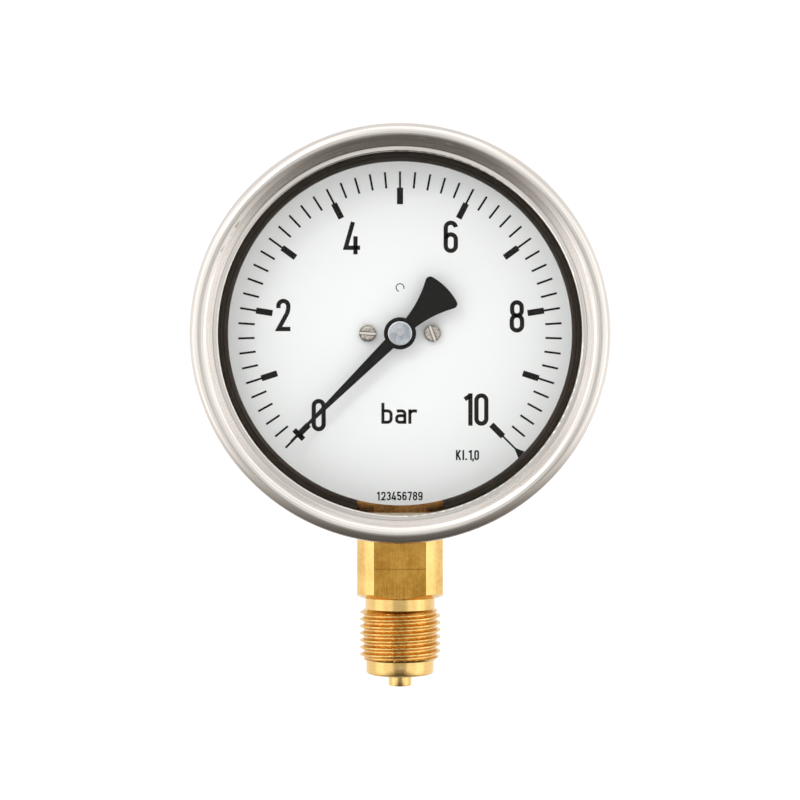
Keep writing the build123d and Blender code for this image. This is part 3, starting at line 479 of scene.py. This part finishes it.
def black_paint(paint):
    x, y, z = paint.place()
    peel = paint.noise(paint.vector(x, y, z), 2500.0, 2.0)
    return {
        "Base Color": paint.blend(peel, colour(0.005, 0.0045, 0.004), colour(0.011, 0.010, 0.009)),
        "Roughness": 0.46 + 0.12 * peel,
        "Normal": paint.bump(peel, 0.000004, 0.3),
    }


def black_ink(paint):
    x, y, z = paint.place()
    cover = paint.noise(paint.vector(x, y, z), 2200.0, 2.0)
    return {
        "Base Color": paint.blend(cover, colour(0.007, 0.006, 0.005), colour(0.016, 0.013, 0.011)),
        "Roughness": 0.55 + 0.15 * cover,
    }


def moulded_rubber(paint):
    x, y, z = paint.place()
    grain = paint.noise(paint.vector(x, y, z), 1800.0, 3.0)
    return {
        "Base Color": paint.blend(grain, colour(0.018, 0.017, 0.016), colour(0.035, 0.033, 0.031)),
        "Roughness": 0.62 + 0.2 * grain,
        "Normal": paint.bump(grain, 0.00002, 0.4),
    }


def pressed_fibre(paint):
    x, y, z = paint.place()
    fibres = paint.noise(paint.vector(x * 1200.0, y * 1200.0, z * 4000.0), 1.0, 4.0, 0.7)
    return {
        "Base Color": paint.blend(fibres, colour(0.56, 0.46, 0.31), colour(0.74, 0.65, 0.48)),
        "Roughness": 0.80 + 0.1 * fibres,
        "Normal": paint.bump(fibres, 0.00003, 0.5),
    }


# %% [markdown]
# Instrument glass is seen by its reflection alone. So the pane is a perfect mirror that is almost
# wholly transparent: Fresnel's law, from the angle at which it is met, says how much of the
# mirror shows. Met squarely it is four parts in a thousand, as on glass with a coating against
# glare.

# %% Instrument glass
def clear_glass(paint):
    x, y, z = paint.place()
    wave = paint.noise(paint.vector(x, y, z), 40.0, 1.0)
    return {
        "Alpha": paint.node("ShaderNodeFresnel", inputs={"IOR": 1.45}) * 0.12,
        "Roughness": 0.01 + 0.02 * wave,
    }


# %% All the finishes
METAL = {"Metallic": 1.0}
MATT = {"Specular IOR Level": 0.12}
MIRROR = {"Metallic": 1.0, "Base Color": colour(0.96, 0.98, 0.97)}
RECIPES = {
    "brushed_stainless": (brushed_steel, METAL),
    "brass": (turned_brass, METAL),
    "movement_brass": (plate_brass, METAL),
    "bronze_tube": (drawn_bronze, METAL),
    "spring_bronze": (spring_strip, METAL),
    "bright_steel": (bright_steel, METAL),
    "nickel": (nickel_plate, METAL),
    "bush_aluminium": (turned_aluminium, METAL),
    "dial_white": (white_paint, {}),
    "pointer_black": (black_paint, MATT),
    "black_rubber": (moulded_rubber, {}),
    "fibre_seal": (pressed_fibre, {}),
    "glass": (clear_glass, MIRROR),
}
FINISHES = {name: finish(name, recipe, **fixed) for name, (recipe, fixed) in RECIPES.items()}
INK = finish("dial_ink", black_ink, **MATT)
print("finishes", len(FINISHES) + 1)

# %% [markdown]
# The record names a material slot for every CAD node. The finish is linked to the object and not
# to its mesh, so the mesh stays as it came.

# %% Every CAD node takes the finish of its slot
for part in frame["record"]["subparts"]:
    node = frame["nodes"][part["node"]]
    if not node.material_slots:
        node.data.materials.append(None)
    for held in node.material_slots:
        held.link = "OBJECT"
        held.material = FINISHES[part["material_slot"]]


# %% [markdown]
# ## The print on the dial
#
# The scale and the figures are screen printed, in one coat of black. Each mark is a stroke of
# constant width: a path is drawn first, as the pen would, and a band is carried along it. At a
# bend the band's edge is pushed out along the bisector, so that corners stay full. The band has
# the thickness of a coat of ink, so it is a closed shape and not a picture.

# %% A band of ink along a path
INK_LOW = DIAL_FACE - 0.01
INK_HIGH = DIAL_FACE + 0.03


def on_dial(points, depth):
    """Points of the dial plane, in millimetres from its centre, put at a depth in the row frame."""
    points = np.asarray(points, float)
    depth = np.broadcast_to(depth, points.shape[:-1])
    return np.stack([DIAL_X / MM + points[..., 0], -depth, DIAL_Z / MM + points[..., 1]], -1)


def band_edges(path, width, closed):
    """Left and right edge of a band: each point moves along the bisector of its two neighbours'
    normals, by half the width divided by the cosine of half the bend."""
    path = np.asarray(path, float)
    if closed:
        path = np.concatenate([path[-1:], path, path[:1]])
    run = np.diff(path, axis=0)
    run /= np.linalg.norm(run, axis=1, keepdims=True)
    normal = np.stack([-run[:, 1], run[:, 0]], 1)
    before = normal if closed else np.concatenate([normal[:1], normal])
    after = normal[1:] if closed else np.concatenate([normal, normal[-1:]])
    before = before[: len(after)]
    bisector = before + after
    bisector /= np.maximum(np.sum(bisector * after, axis=1, keepdims=True), 0.35)
    centre = path[1:-1] if closed else path
    edges = [centre + bisector * width / 2, centre - bisector * width / 2]
    return [np.concatenate([edge, edge[:1]]) if closed else edge for edge in edges]


def ink_band(path, width, closed=False):
    """Grids of a band: its four long sides, and its two ends if it is open."""
    left, right = band_edges(path, width, closed)
    corners = [
        on_dial(left, INK_LOW), on_dial(left, INK_HIGH),
        on_dial(right, INK_HIGH), on_dial(right, INK_LOW),
    ]
    side = np.stack(corners + corners[:1], 1)
    if closed:
        return [side]
    ends = [np.stack([side[end, :2], side[end, 3:1:-1]]) for end in (0, -1)]
    return [side] + ends


def arc(x, y, across, up, start, end, steps=20):
    """Points of an ellipse's arc, by its centre, its two radii and its angles in degrees."""
    turn = np.radians(np.linspace(start, end, steps))
    return np.stack([x + across * np.cos(turn), y + up * np.sin(turn)], 1)


def pen(*pieces):
    """One path out of points and arcs, without points that fall on their neighbours."""
    path = np.concatenate([np.atleast_2d(np.asarray(piece, float)) for piece in pieces])
    apart = np.linalg.norm(np.diff(path, axis=0), axis=1) > 1e-4
    return path[np.concatenate([[True], apart])]


# %% [markdown]
# The figures are narrow and upright, with straight sides and round ends, as on most instruments.
# Each is described once, by its pen's path, in terms of its half width, its lowest and its
# highest line.

# %% Figures and letters as pen paths
def figure(sign, high, wide, pen_wide):
    """Paths of a sign whose foot is at the origin: a list of (path, whether it is closed)."""
    a, low, top = (wide - pen_wide) / 2, pen_wide / 2, high - pen_wide / 2
    mid = low + 0.53 * (top - low)
    if sign == "0":
        loop = pen(arc(0, top - a, a, a, 180, 0), arc(0, low + a, a, a, 0, -180))
        return [(loop, True)]
    if sign == "1":
        flag = pen((a, top), (-a * 1.15, top - 1.15 * a * 1.2))
        return [([(a, 0), (a, high)], False), (flag, False)]
    if sign == "2":
        bowl = arc(0, top - a, a, a, 180, 0)
        turn = arc(-2.2 * a, top - 1.25 * a, 3.2 * a, 3.2 * a, 0, -32, 10)
        path = pen((-a, top - 1.45 * a), bowl, turn, (-a * 0.98, low), (a + low, low))
        return [(path, False)]
    if sign == "3":
        upper = arc(0, (top + mid) / 2, a * 0.95, (top - mid) / 2, 165, -90)
        lower = arc(0, (low + mid) / 2, a, (mid - low) / 2, 90, -165)
        return [(pen(upper, lower), False)]
    if sign == "4":
        bar = 0.205 * high
        slope = pen((0.06 * wide, high), (-0.40 * wide, bar), (wide / 2, bar))
        return [(slope, False), ([(0.215 * wide, 0), (0.215 * wide, 0.56 * high)], False)]
    if sign == "5":
        bowl = arc(0, low + 0.3 * (top - low), a, 0.3 * (top - low), 130, -165)
        return [(pen((a, top), (-a * 0.9, top), (-a * 0.9, mid + 0.02 * high), bowl), False)]
    if sign == "6":
        crown = low + 0.585 * (top - low)
        hook = pen(arc(0, top - a, a, a, 8, 180), arc(0, low + a, a, a, 180, 360))
        return [(pen(hook, arc(0, crown - a, a, a, 0, 178)), False)]
    if sign == "7":
        return [(pen((-a - low, top), (a, top), (-a * 0.35, 0)), False)]
    if sign == "8":
        b = 0.93 * a
        upper = pen(arc(0, top - b, b, b, 180, 0), arc(0, mid + b, b, b, 0, -180))
        lower = pen(arc(0, mid - a, a, a, 180, 0), arc(0, low + a, a, a, 0, -180))
        return [(upper, True), (lower, True)]
    if sign == "9":
        six = figure("6", high, wide, pen_wide)
        return [(np.array([0, high]) - path, closed) for path, closed in six]
    if sign == "b":
        upper = arc(a - 0.9, top - 0.9, 0.9, 0.9, 90, 0)
        lower = arc(a - 0.9, low + 0.9, 0.9, 0.9, 0, -90)
        bowl = pen((-a, top), upper, lower, (-a, low))
        return [([(-a, 0), (-a, high * 1.45)], False), (bowl, False)]
    if sign == "a":
        bend = arc(a - 0.8, top - 0.8, 0.8, 0.8, 90, 0)
        arm = pen((-a + 0.05, top - 0.12), (-a + 0.5, top), bend, (a, 0))
        shelf = 0.56 * high
        upper = arc(-a + 0.75, shelf - 0.7, 0.75, 0.7, 90, 180)
        lower = arc(-a + 0.75, low + 0.65, 0.75, 0.65, 180, 270)
        return [(arm, False), (pen((a, shelf), upper, lower, (a, low)), False)]
    if sign == "r":
        bend = arc(-a + 1.1, top - 0.85, 1.1, 0.85, 170, 75)
        arm = pen((-a, top - 0.45), bend, (a + low, top - 0.12))
        return [([(-a, 0), (-a, high)], False), (arm, False)]
    if sign == "K":
        arm = pen((a + low * 0.5, high), (-a, 0.40 * high))
        leg = pen((-a * 0.35, 0.55 * high), (a + low * 0.7, 0))
        return [([(-a, 0), (-a, high)], False), (arm, False), (leg, False)]
    if sign == "l":
        return [([(0, 0), (0, high)], False)]
    if sign == ".":
        return [([(0, 0), (0, pen_wide)], False)]
    if sign == ",":
        lean = 0.16 * pen_wide
        return [([(-lean, -0.75 * pen_wide), (lean, pen_wide)], False)]


def word(signs, x, y, high, wide, pen_wide):
    """Grids of a row of signs, each at its own x, on one foot line."""
    grids = []
    for sign, along, width in zip(signs, x, wide):
        for path, closed in figure(sign, high, width, pen_wide):
            grids += ink_band(np.asarray(path) + (along, y), pen_wide, closed)
    return grids


# %% [markdown]
# The scale runs over three quarters of a turn, from the lower left, clockwise, with fifty
# divisions. All marks of one kind differ only in their direction, so the marks are rays: a start
# radius, an end radius and an angle each. A short bar crosses the zero mark, and a wedge stands
# outside the last one.

# %% The scale
SCALE_START = 225.0
SCALE_SWEEP = 270.0
DIVISIONS = 50
FINE_MARK = (36.85, 41.0, 0.52)    # start radius, end radius, width
BOLD_MARK = (32.7, 36.9, 1.55)
LAST_MARK = (36.8, 41.4, 0.46)
ZERO_BAR_AT, ZERO_BAR_HALF, ZERO_BAR_WIDE = 36.25, 1.7, 1.3
WEDGE_TIP, WEDGE_FOOT, WEDGE_HALF = 40.8, 43.5, 1.15


def ways(angle):
    """Unit vectors outwards along the radius at an angle in degrees, and square to it."""
    turn = np.radians(angle)
    out = np.array([math.cos(turn), math.sin(turn)])
    return out, np.array([-out[1], out[0]])


def rays(angles, start, end, width):
    """Grids of straight marks along the radius."""
    grids = []
    for angle in angles:
        out = ways(angle)[0]
        grids += ink_band([out * start, out * end], width)
    return grids


divisions = SCALE_START - np.linspace(0.0, SCALE_SWEEP, DIVISIONS + 1)
marks = rays(divisions[:-1], *FINE_MARK)
marks += rays(divisions[::5], *BOLD_MARK)
out, aside = ways(SCALE_START)
bar = [out * ZERO_BAR_AT - aside * ZERO_BAR_HALF, out * ZERO_BAR_AT + aside * ZERO_BAR_HALF]
marks += ink_band(bar, ZERO_BAR_WIDE)
marks += rays(divisions[-1:], *LAST_MARK)
out, aside = ways(divisions[-1])
tip = out * WEDGE_TIP
left_foot = out * WEDGE_FOOT + aside * WEDGE_HALF
right_foot = out * WEDGE_FOOT - aside * WEDGE_HALF
wedge = np.array([[tip, tip], [left_foot, right_foot]])
rim = np.array([tip, left_foot, right_foot, tip])
marks += [on_dial(wedge, INK_LOW), on_dial(wedge, INK_HIGH)]
marks += [np.stack([on_dial(rim, INK_LOW), on_dial(rim, INK_HIGH)])]
scale_print = make_piece("scale_print", marks, "housing", "pointer_black")
scale_print.data.materials[0] = INK

# %% [markdown]
# What is printed is a table: the signs, each one's x, their foot line, their height, each one's
# width and the pen's. The numerals stand inside the bold marks, with the unit, the accuracy class
# and a row of sample digits below. A small open ring of ink over the hub is the printer's
# register mark.

# %% Numerals, unit and small print
HIGH, PEN = 8.2, 1.1
SERIAL = "123456789"
CLASS_X = [14.75, 16.02, 16.75, 17.72, 18.5, 19.4]
PRINT = [
    ("0", [-20.6], -24.8, HIGH, [3.6], PEN),
    ("2", [-29.55], 0.55, HIGH, [3.6], PEN),
    ("4", [-12.15], 20.0, HIGH, [4.05], PEN),
    ("6", [12.85], 20.35, HIGH, [3.65], PEN),
    ("8", [29.6], 0.2, HIGH, [3.7], PEN),
    ("10", [17.15, 20.6], -23.4, HIGH, [2.45, 3.6], PEN),
    ("bar", [-3.3, 0.18, 3.2], -22.9, 3.66, [2.85, 2.85, 2.2], 0.78),
    ("Kl.1,0", CLASS_X, -32.1, 2.55, [1.2, 0.4, 0.4, 0.95, 0.4, 1.2], 0.42),
    (SERIAL, np.linspace(-5.55, 5.15, len(SERIAL)), -42.3, 2.2, [0.8] + [1.12] * 8, 0.36),
]
REGISTER_Y, REGISTER_R, REGISTER_PEN = 11.6, 0.98, 0.24
figures = []
for row in PRINT:
    figures += word(*row)
register = arc(0, REGISTER_Y, REGISTER_R, REGISTER_R, -20, 255, 40)
figures += ink_band(register, REGISTER_PEN)
numerals = make_piece("numerals", figures, "housing", "pointer_black")
numerals.data.materials[0] = INK


# %% [markdown]
# ## The brass stem
#
# The stem is turned from square bar. The lathe leaves the four flats, rounds the corners off, and
# under them cuts a cone, an undercut, the pipe thread, a pilot and a small centring spigot. All
# of it is a function of the angle and the height that gives the radius. On a flat the radius is
# the flat's distance over the cosine of the angle; on a corner it is the bar's turned radius; the
# smaller counts. Columns of the grid lie exactly on the edges between flat and corner, so the
# edges stay crisp.

# %% Angles and radii of the square bar
edge = math.degrees(math.acos(SQUARE_HALF / CORNER_R))
CORNER_COLUMNS, FLAT_COLUMNS = 8, 30
quarter = np.concatenate([
    np.linspace(-45, -edge, CORNER_COLUMNS)[:-1],
    np.linspace(-edge, edge, FLAT_COLUMNS)[:-1],
    np.linspace(edge, 45, CORNER_COLUMNS)[:-1],
])
around = np.radians(np.concatenate([quarter + 90 * side for side in range(4)] + [[315.0]]))
print("columns round the stem", len(around) - 1)
from_flat = (np.degrees(around) + 45) % 90 - 45
square_r = SQUARE_HALF / np.cos(np.radians(from_flat))
turned_r = np.minimum(square_r, CORNER_R)


def lathe(radius, height):
    """Grid of a turned surface: rows of radius and height, spread over all angles."""
    radius, height = np.broadcast_arrays(np.asarray(radius, float), np.asarray(height, float))
    if radius.ndim == 1:
        radius, height = radius[:, None], height[:, None]
    radius, height = radius + 0 * around, height + 0 * around
    return np.stack([radius * np.cos(around), radius * np.sin(around), height], -1)


def flat_ring(inner, outer, height):
    """Grid of a flat face at one height, between two radii that may change with the angle."""
    return lathe(np.stack([inner + 0 * around, outer + 0 * around]), np.full((2, 1), height))


# %% [markdown]
# A pipe thread's flanks stand at 55 degrees, and its crests and roots are rounded. Its height is
# a triangle wave along the stem, shifted by one pitch for each turn round it. The wave is cut off
# at a sixth at both ends and eased there, which is the rounding. A cone takes the first turn
# down, so that the thread starts in a nut without a burr.

# %% The thread
PITCH = 25.4 / 14
THREAD_DEPTH = 1.162
THREAD_LOW, THREAD_TOP = 3.8, 17.0
UNDERCUT_R = 9.0
PILOT_R = 8.75
THREAD_PHASE = 0.67
THREAD_ROWS = 230
LEAD_IN = (9.25, 1.1)    # radius at the thread's end, and its growth with the height
LEAD_OUT = (9.1, 1.6)


def thread_radius(height):
    """Crest radius less the depth times an eased triangle wave of the height and the angle."""
    turns = (height[:, None] - THREAD_PHASE) / PITCH - around / (2 * math.pi)
    wave = np.abs(2 * (turns % 1.0) - 1)
    cut = np.clip((1 - wave) * 1.5 - 0.25, 0, 1)
    eased = cut - 0.5 / math.pi * 0.35 * np.sin(2 * math.pi * cut)
    radius = THREAD_R - THREAD_DEPTH * eased
    lead_in = LEAD_IN[0] + (height[:, None] - THREAD_LOW) * LEAD_IN[1]
    lead_out = LEAD_OUT[0] + (THREAD_TOP - height[:, None]) * LEAD_OUT[1]
    return np.minimum(radius, np.minimum(lead_in, lead_out))


thread_rows = np.linspace(THREAD_LOW, THREAD_TOP, THREAD_ROWS)
thread = lathe(thread_radius(thread_rows), thread_rows[:, None])

# %% [markdown]
# The foot is one profile of radius and height, from the port's inner end, out round the spigot's
# tip and along the pilot to the thread. Above the thread come the undercut and the cone that
# takes the bar's corners off, then the shaft, a shallow neck that the case's seal sits on, and
# the block.

# %% The foot, from the port to the thread
stem_low = socket_low.z / MM
PORT_R, PORT_TOP = 2.0, 9.0
THROAT_R, THROAT_TOP = 1.75, 13.2
SPIGOT_R = 3.0
FOOT = np.array([
    (0.0, THROAT_TOP), (THROAT_R, THROAT_TOP), (THROAT_R, PORT_TOP), (PORT_R, PORT_TOP),
    (PORT_R, stem_low + 0.25), (PORT_R + 0.25, stem_low), (SPIGOT_R - 0.4, stem_low),
    (SPIGOT_R - 0.12, stem_low + 0.1), (SPIGOT_R, stem_low + 0.4), (SPIGOT_R, -0.15),
    (SPIGOT_R, 0.0), (PILOT_R - 0.8, 0.0), (PILOT_R - 0.2, 0.35), (PILOT_R, 0.8),
    (PILOT_R, 2.2), (PILOT_R, THREAD_LOW),
])
foot = lathe(FOOT[:, 0], FOOT[:, 1])
foot_step = flat_ring(PILOT_R, thread_radius(np.array([THREAD_LOW]))[0], THREAD_LOW)
print("foot from", round(stem_low, 3), "to", THREAD_LOW)

# %% Undercut, cone, shaft and block
CONE_R, CONE_ANGLE = 10.6, 30.0
UNDERCUT_EASE = 0.15
NECK_LOW, NECK_STEP = BLOCK_LOW - 2.2, 0.2
BLOCK_TOP, BLOCK_BEVEL, BLOCK_SHRINK = 60.0, 0.3, 0.975
head_step = flat_ring(thread_radius(np.array([THREAD_TOP]))[0], UNDERCUT_R, THREAD_TOP)
undercut = lathe(
    [UNDERCUT_R, UNDERCUT_R, UNDERCUT_R + UNDERCUT_EASE, CONE_R],
    [THREAD_TOP, UNDERCUT_TOP - UNDERCUT_EASE, UNDERCUT_TOP, UNDERCUT_TOP],
)
cone_z = UNDERCUT_TOP + (turned_r - CONE_R) * math.tan(math.radians(CONE_ANGLE))
cone_r = np.stack([np.full(len(around), CONE_R), turned_r])
cone = lathe(cone_r, np.stack([np.full(len(around), UNDERCUT_TOP), cone_z]))
levels = np.linspace(0, 1, 12)[:, None]
shaft = lathe(turned_r + 0 * levels, cone_z + (NECK_LOW - cone_z) * levels)
neck_r = np.minimum(square_r * (SQUARE_HALF - NECK_STEP) / SQUARE_HALF, CORNER_R)
neck_step = flat_ring(turned_r, neck_r, NECK_LOW)
neck_top = lathe(np.stack([neck_r, neck_r]), np.array([[NECK_LOW], [BLOCK_LOW]]))
ledge = flat_ring(neck_r, square_r, BLOCK_LOW)
block_r = np.stack([square_r, square_r, square_r * BLOCK_SHRINK, 0 * square_r])
block_z = np.array([BLOCK_LOW, BLOCK_TOP - BLOCK_BEVEL, BLOCK_TOP, BLOCK_TOP])
block = lathe(block_r, block_z[:, None])


def slab(low, high):
    """Closed box between two corners, as four sides and two lids."""
    x = np.array([low[0], high[0], high[0], low[0], low[0]])
    y = np.array([low[1], low[1], high[1], high[1], low[1]])
    side = np.stack([np.stack([x, y, np.full(5, z)], -1) for z in (low[2], high[2])])
    lids = [np.stack([row[:2], row[3:1:-1]]) for row in side]
    return [side] + lids


TONGUE_HALF, TONGUE_FRONT, TONGUE_SUNK = 9.5, 2.0, 0.6
tongue = slab(
    (-TONGUE_HALF, TONGUE_FRONT, BLOCK_TOP - TONGUE_SUNK),
    (TONGUE_HALF, SQUARE_HALF, socket_high.z / MM),
)
turned = [foot, foot_step, thread, head_step, undercut, cone]
turned += [shaft, neck_step, neck_top, ledge, block]
brass_stem = make_piece("brass_stem", turned + tongue, "housing", "brass")
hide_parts("socket")

# %% [markdown]
# ## The dial's screws
#
# Two nickel plated screws hold the dial. Their heads are knurled round the edge, so that they can
# be turned by hand. A head is made of two halves, one each side of the slot: a half is ruled from
# the slot's edge out to the rim, and the rim's radius waves with the angle.

# %% Knurled, slotted heads
HEAD_HIGH = 1.6
SLOT_HALF, SLOT_DEEP = 0.3, 0.7
KNURL_DEEP = 0.14


SLOT_TURN = math.asin(SLOT_HALF / HEAD_R)
RIM_COLUMNS = 157


def knurled(angle):
    """Radius of the rim at an angle: the head's radius less the size of a sine."""
    return HEAD_R - KNURL_DEEP * np.abs(np.sin(KNURLS / 2 * angle))


def on_head(u, v, depth, turn, x):
    """Points along the slot and across it, turned with the slot and put at the screw's place."""
    cos, sin = math.cos(math.radians(turn)), math.sin(math.radians(turn))
    return on_dial(np.stack([x + u * cos - v * sin, u * sin + v * cos], -1), depth)


def head_half(side, turn, x):
    """Grids of one half of a head: the slot's wall, the top and the rim, and two flat faces."""
    angle = np.linspace(SLOT_TURN, math.pi - SLOT_TURN, RIM_COLUMNS)
    rim_r = knurled(angle)
    along = rim_r * np.cos(angle)
    reach = rim_r * np.sin(angle)
    share = np.array([0.25, 0.5, 0.75, 0.9, 0.96, 0.99, 1.0, 1.0, 1.0])
    fall = np.array([0.0, 0.0, 0.02, 0.07, 0.15, 0.27, 0.42, SLOT_DEEP, HEAD_HIGH])
    slot_fall = np.concatenate([fall[fall <= SLOT_DEEP][::-1], [0.0]])
    drop = np.concatenate([slot_fall, fall])[:, None]
    across = np.maximum(SLOT_HALF + (reach - SLOT_HALF) * share[:, None], SLOT_HALF)
    across = np.concatenate([np.full((len(slot_fall), len(angle)), SLOT_HALF), across])
    top = np.stack([along + 0 * across, across, DIAL_FACE + HEAD_HIGH - drop + 0 * across], -1)
    floor = np.stack([top[0], top[0] * [1, 0, 1]])
    base = np.stack([top[-1], top[-1] * [1, 0, 1]])
    grids = [top, floor, base]
    return [on_head(grid[..., 0], grid[..., 1] * side, grid[..., 2], turn, x) for grid in grids]


def slot_ends(turn, x):
    """The two ends of a head under its slot, from one half's rim to the other's."""
    reach = knurled(SLOT_TURN) * math.cos(SLOT_TURN)
    across = np.array([[-SLOT_HALF, 0, SLOT_HALF]] * 2)
    depth = DIAL_FACE + np.array([[0.0] * 3, [HEAD_HIGH - SLOT_DEEP] * 3])
    return [on_head(np.full((2, 3), end * reach), across, depth, turn, x) for end in (-1, 1)]


head_grids = []
for side, turn in zip((-1, 1), SLOT_TURNS):
    for half in (-1, 1):
        head_grids += head_half(half, turn, side * SCREW_X)
    head_grids += slot_ends(turn, side * SCREW_X)
dial_heads = make_piece("dial_heads", head_grids, "housing", "nickel", crease=40.0)
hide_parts("dial_screws")

# %% [markdown]
# ## The Bourdon tube
#
# The tube is what measures: pressure makes its flattened section rounder, which opens its bend
# and moves its free end. It runs from the housing, where it is soldered into the block, to the
# end piece, which turns a few degrees. Here it is one fixed piece that rides on no body. Its
# surface is a flat-sided oval, carried round an arc.

# %% The tube
tube_low, tube_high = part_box("bourdon_tube")
TUBE_FLAT, TUBE_WIDE, TUBE_WALL = 4.4, 11.0, 0.5
TUBE_R = tube_high.z / MM - DIAL_Z / MM - TUBE_FLAT / 2
TUBE_DEPTH = -(tube_low.y + tube_high.y) / 2 / MM
TUBE_START, TUBE_END = 263.0, -25.0
SECTION_COLUMNS, ARC_ROWS = 36, 144


def tube_skin(shrink, turns):
    """Oval of two straight sides and two round ends, at every angle of the tube's arc."""
    lean = np.radians(np.linspace(0, 360, SECTION_COLUMNS + 1))
    round_r = TUBE_FLAT / 2 - shrink
    half = np.sign(np.round(np.sin(lean), 6)) * (TUBE_WIDE - TUBE_FLAT) / 2
    depth = TUBE_DEPTH + half + round_r * np.sin(lean)
    radius = TUBE_R + round_r * np.cos(lean)
    turn = np.radians(turns)[:, None]
    points = np.stack([radius * np.cos(turn), radius * np.sin(turn)], -1)
    return on_dial(points, depth + 0 * turn)


tube_turns = np.linspace(TUBE_START, TUBE_END, ARC_ROWS + 1)
outside, inside = tube_skin(0.0, tube_turns), tube_skin(TUBE_WALL, tube_turns)
tube_ends = [np.stack([outside[end], inside[end]]) for end in (0, -1)]
spring_tube = make_piece("spring_tube", [outside, inside] + tube_ends, None, "bronze_tube")
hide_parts("bourdon_tube")
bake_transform(spring_tube)

# %% [markdown]
# ## Floor, light and camera
#
# A white floor and a white surround stand in for a light tent. Bright metal shows nothing but
# what it mirrors, so the surround matters more than the lamps: bright to both sides and above, a
# little darker straight in front, where the tent has its opening, dark underneath, and white
# behind. The floor is hidden from mirror rays for the same reason.

# %% Floor
FLOOR_Z = -0.034
bpy.ops.mesh.primitive_circle_add(
    vertices=96, radius=6.0, fill_type="NGON", location=(0, 0, FLOOR_Z))
floor = bpy.context.object
floor.name = "floor"
floor.visible_glossy = False


def pale_floor(paint):
    x, y, z = paint.place()
    grain = paint.noise(paint.vector(x, y, z), 30.0, 2.0)
    return {"Base Color": paint.blend(grain, colour(0.93, 0.93, 0.93), colour(0.95, 0.95, 0.95))}


glow_sockets = {"Emission Color": colour(1.0, 1.0, 1.0), "Emission Strength": 0.26}
floor.data.materials.append(finish("pale_floor", pale_floor, Roughness=0.9, **glow_sockets))

print("floor at", FLOOR_Z)

# %% [markdown]
# The surround's brightness is worked out from the direction in which it is looked at. Each mask
# picks a part of it: how far a direction is from straight ahead of the dial, whether it points
# down, and whether it points sideways. A surface tilted by an angle mirrors what lies at twice
# that angle.

# %% The white surround
world = bpy.data.worlds.new("light_tent")
bpy.context.scene.world = world
world.use_nodes = True
tent = Paint(world.node_tree)
way = tent.node("ShaderNodeTexCoord", output="Generated")
way_x, way_y, way_z = tent.parts(way)
ahead = 0.0 - way_y
aside = (way_x * way_x + way_z * way_z + 0.0001) ** 0.5
down = tent.step((0.0 - way_z) / aside, 0.40, 1.0) * tent.step(ahead, -0.80, -0.45)
side = tent.step(way_x.size() / aside, 0.70, 0.98)
far = tent.step(ahead, 0.50, 0.05)
opening = tent.step(ahead, math.cos(math.radians(30)), math.cos(math.radians(17)))
behind = tent.step(ahead, -0.80, -0.93)
flank = side * tent.step(ahead, 0.64, 0.42) * tent.step(ahead, -0.08, 0.10)
ring = (1.22 + 0.38 * flank - 0.27 * far * (1.0 - 0.6 * side)) * (1.0 - 0.88 * down)
front = 0.87 - 0.05 * tent.step(way_z, -0.08, -0.10) - 0.45 * tent.step(way_z, -0.114, -0.126)
glow = ring * (1.0 - opening) + front * opening
glow = glow * (1.0 - behind) + 1.03 * behind
tint = tent.blend(down * (1.0 - opening), colour(1.0, 1.0, 1.0), colour(1.0, 0.92, 0.84))
tint = tent.blend(far * (1.0 - behind) * (1.0 - down), tint, colour(1.0, 0.975, 0.985))
backdrop = tent.node("ShaderNodeBackground", inputs={"Color": tint, "Strength": glow})
tent.node("ShaderNodeOutputWorld", inputs={"Surface": backdrop})


# %% [markdown]
# Two lamps add what the surround can't: a small one, high on the left, gives the pointer its soft
# shadow, and a wide one above lifts the top of the ring.

# %% Soft lamps
def soft_lamp(name, place, aim, wide, high, watts):
    """Rectangular lamp at a place, turned towards a point."""
    lamp = bpy.data.lights.new(name, "AREA")
    lamp.shape = "RECTANGLE"
    lamp.size, lamp.size_y, lamp.energy = wide, high, watts
    holder = bpy.data.objects.new(name, lamp)
    bpy.context.scene.collection.objects.link(holder)
    holder.location = place
    holder.rotation_euler = (Vector(aim) - Vector(place)).to_track_quat("-Z", "Y").to_euler()
    return holder


middle = (0.0, 0.0, DIAL_Z)
soft_lamp("lamp_key", (-0.42, -0.75, 0.62), middle, 0.22, 0.22, 1.3)
soft_lamp("lamp_top", (0.0, -0.35, 0.95), middle, 0.9, 0.5, 0.6)

# %% [markdown]
# The camera stands three quarters of a metre off, at the dial's height, and looks straight ahead.
# Its picture is shifted down to take in the stem, so the gauge's sides stay upright.

# %% Camera
DISTANCE = 0.750
camera = bpy.data.objects.new("camera", bpy.data.cameras.new("camera"))
bpy.context.scene.collection.objects.link(camera)
camera.location = (0.0, -DISTANCE, DIAL_Z)
camera.rotation_euler = (math.radians(90), 0.0, 0.0)
camera.data.lens = 130.6
camera.data.sensor_width = 36.0
camera.data.shift_y = -0.0833
bpy.context.scene.camera = camera
bpy.context.scene.view_settings.view_transform = "Standard"
print("camera at", round(DISTANCE, 3), "in front of the stem's axis, lens", camera.data.lens)
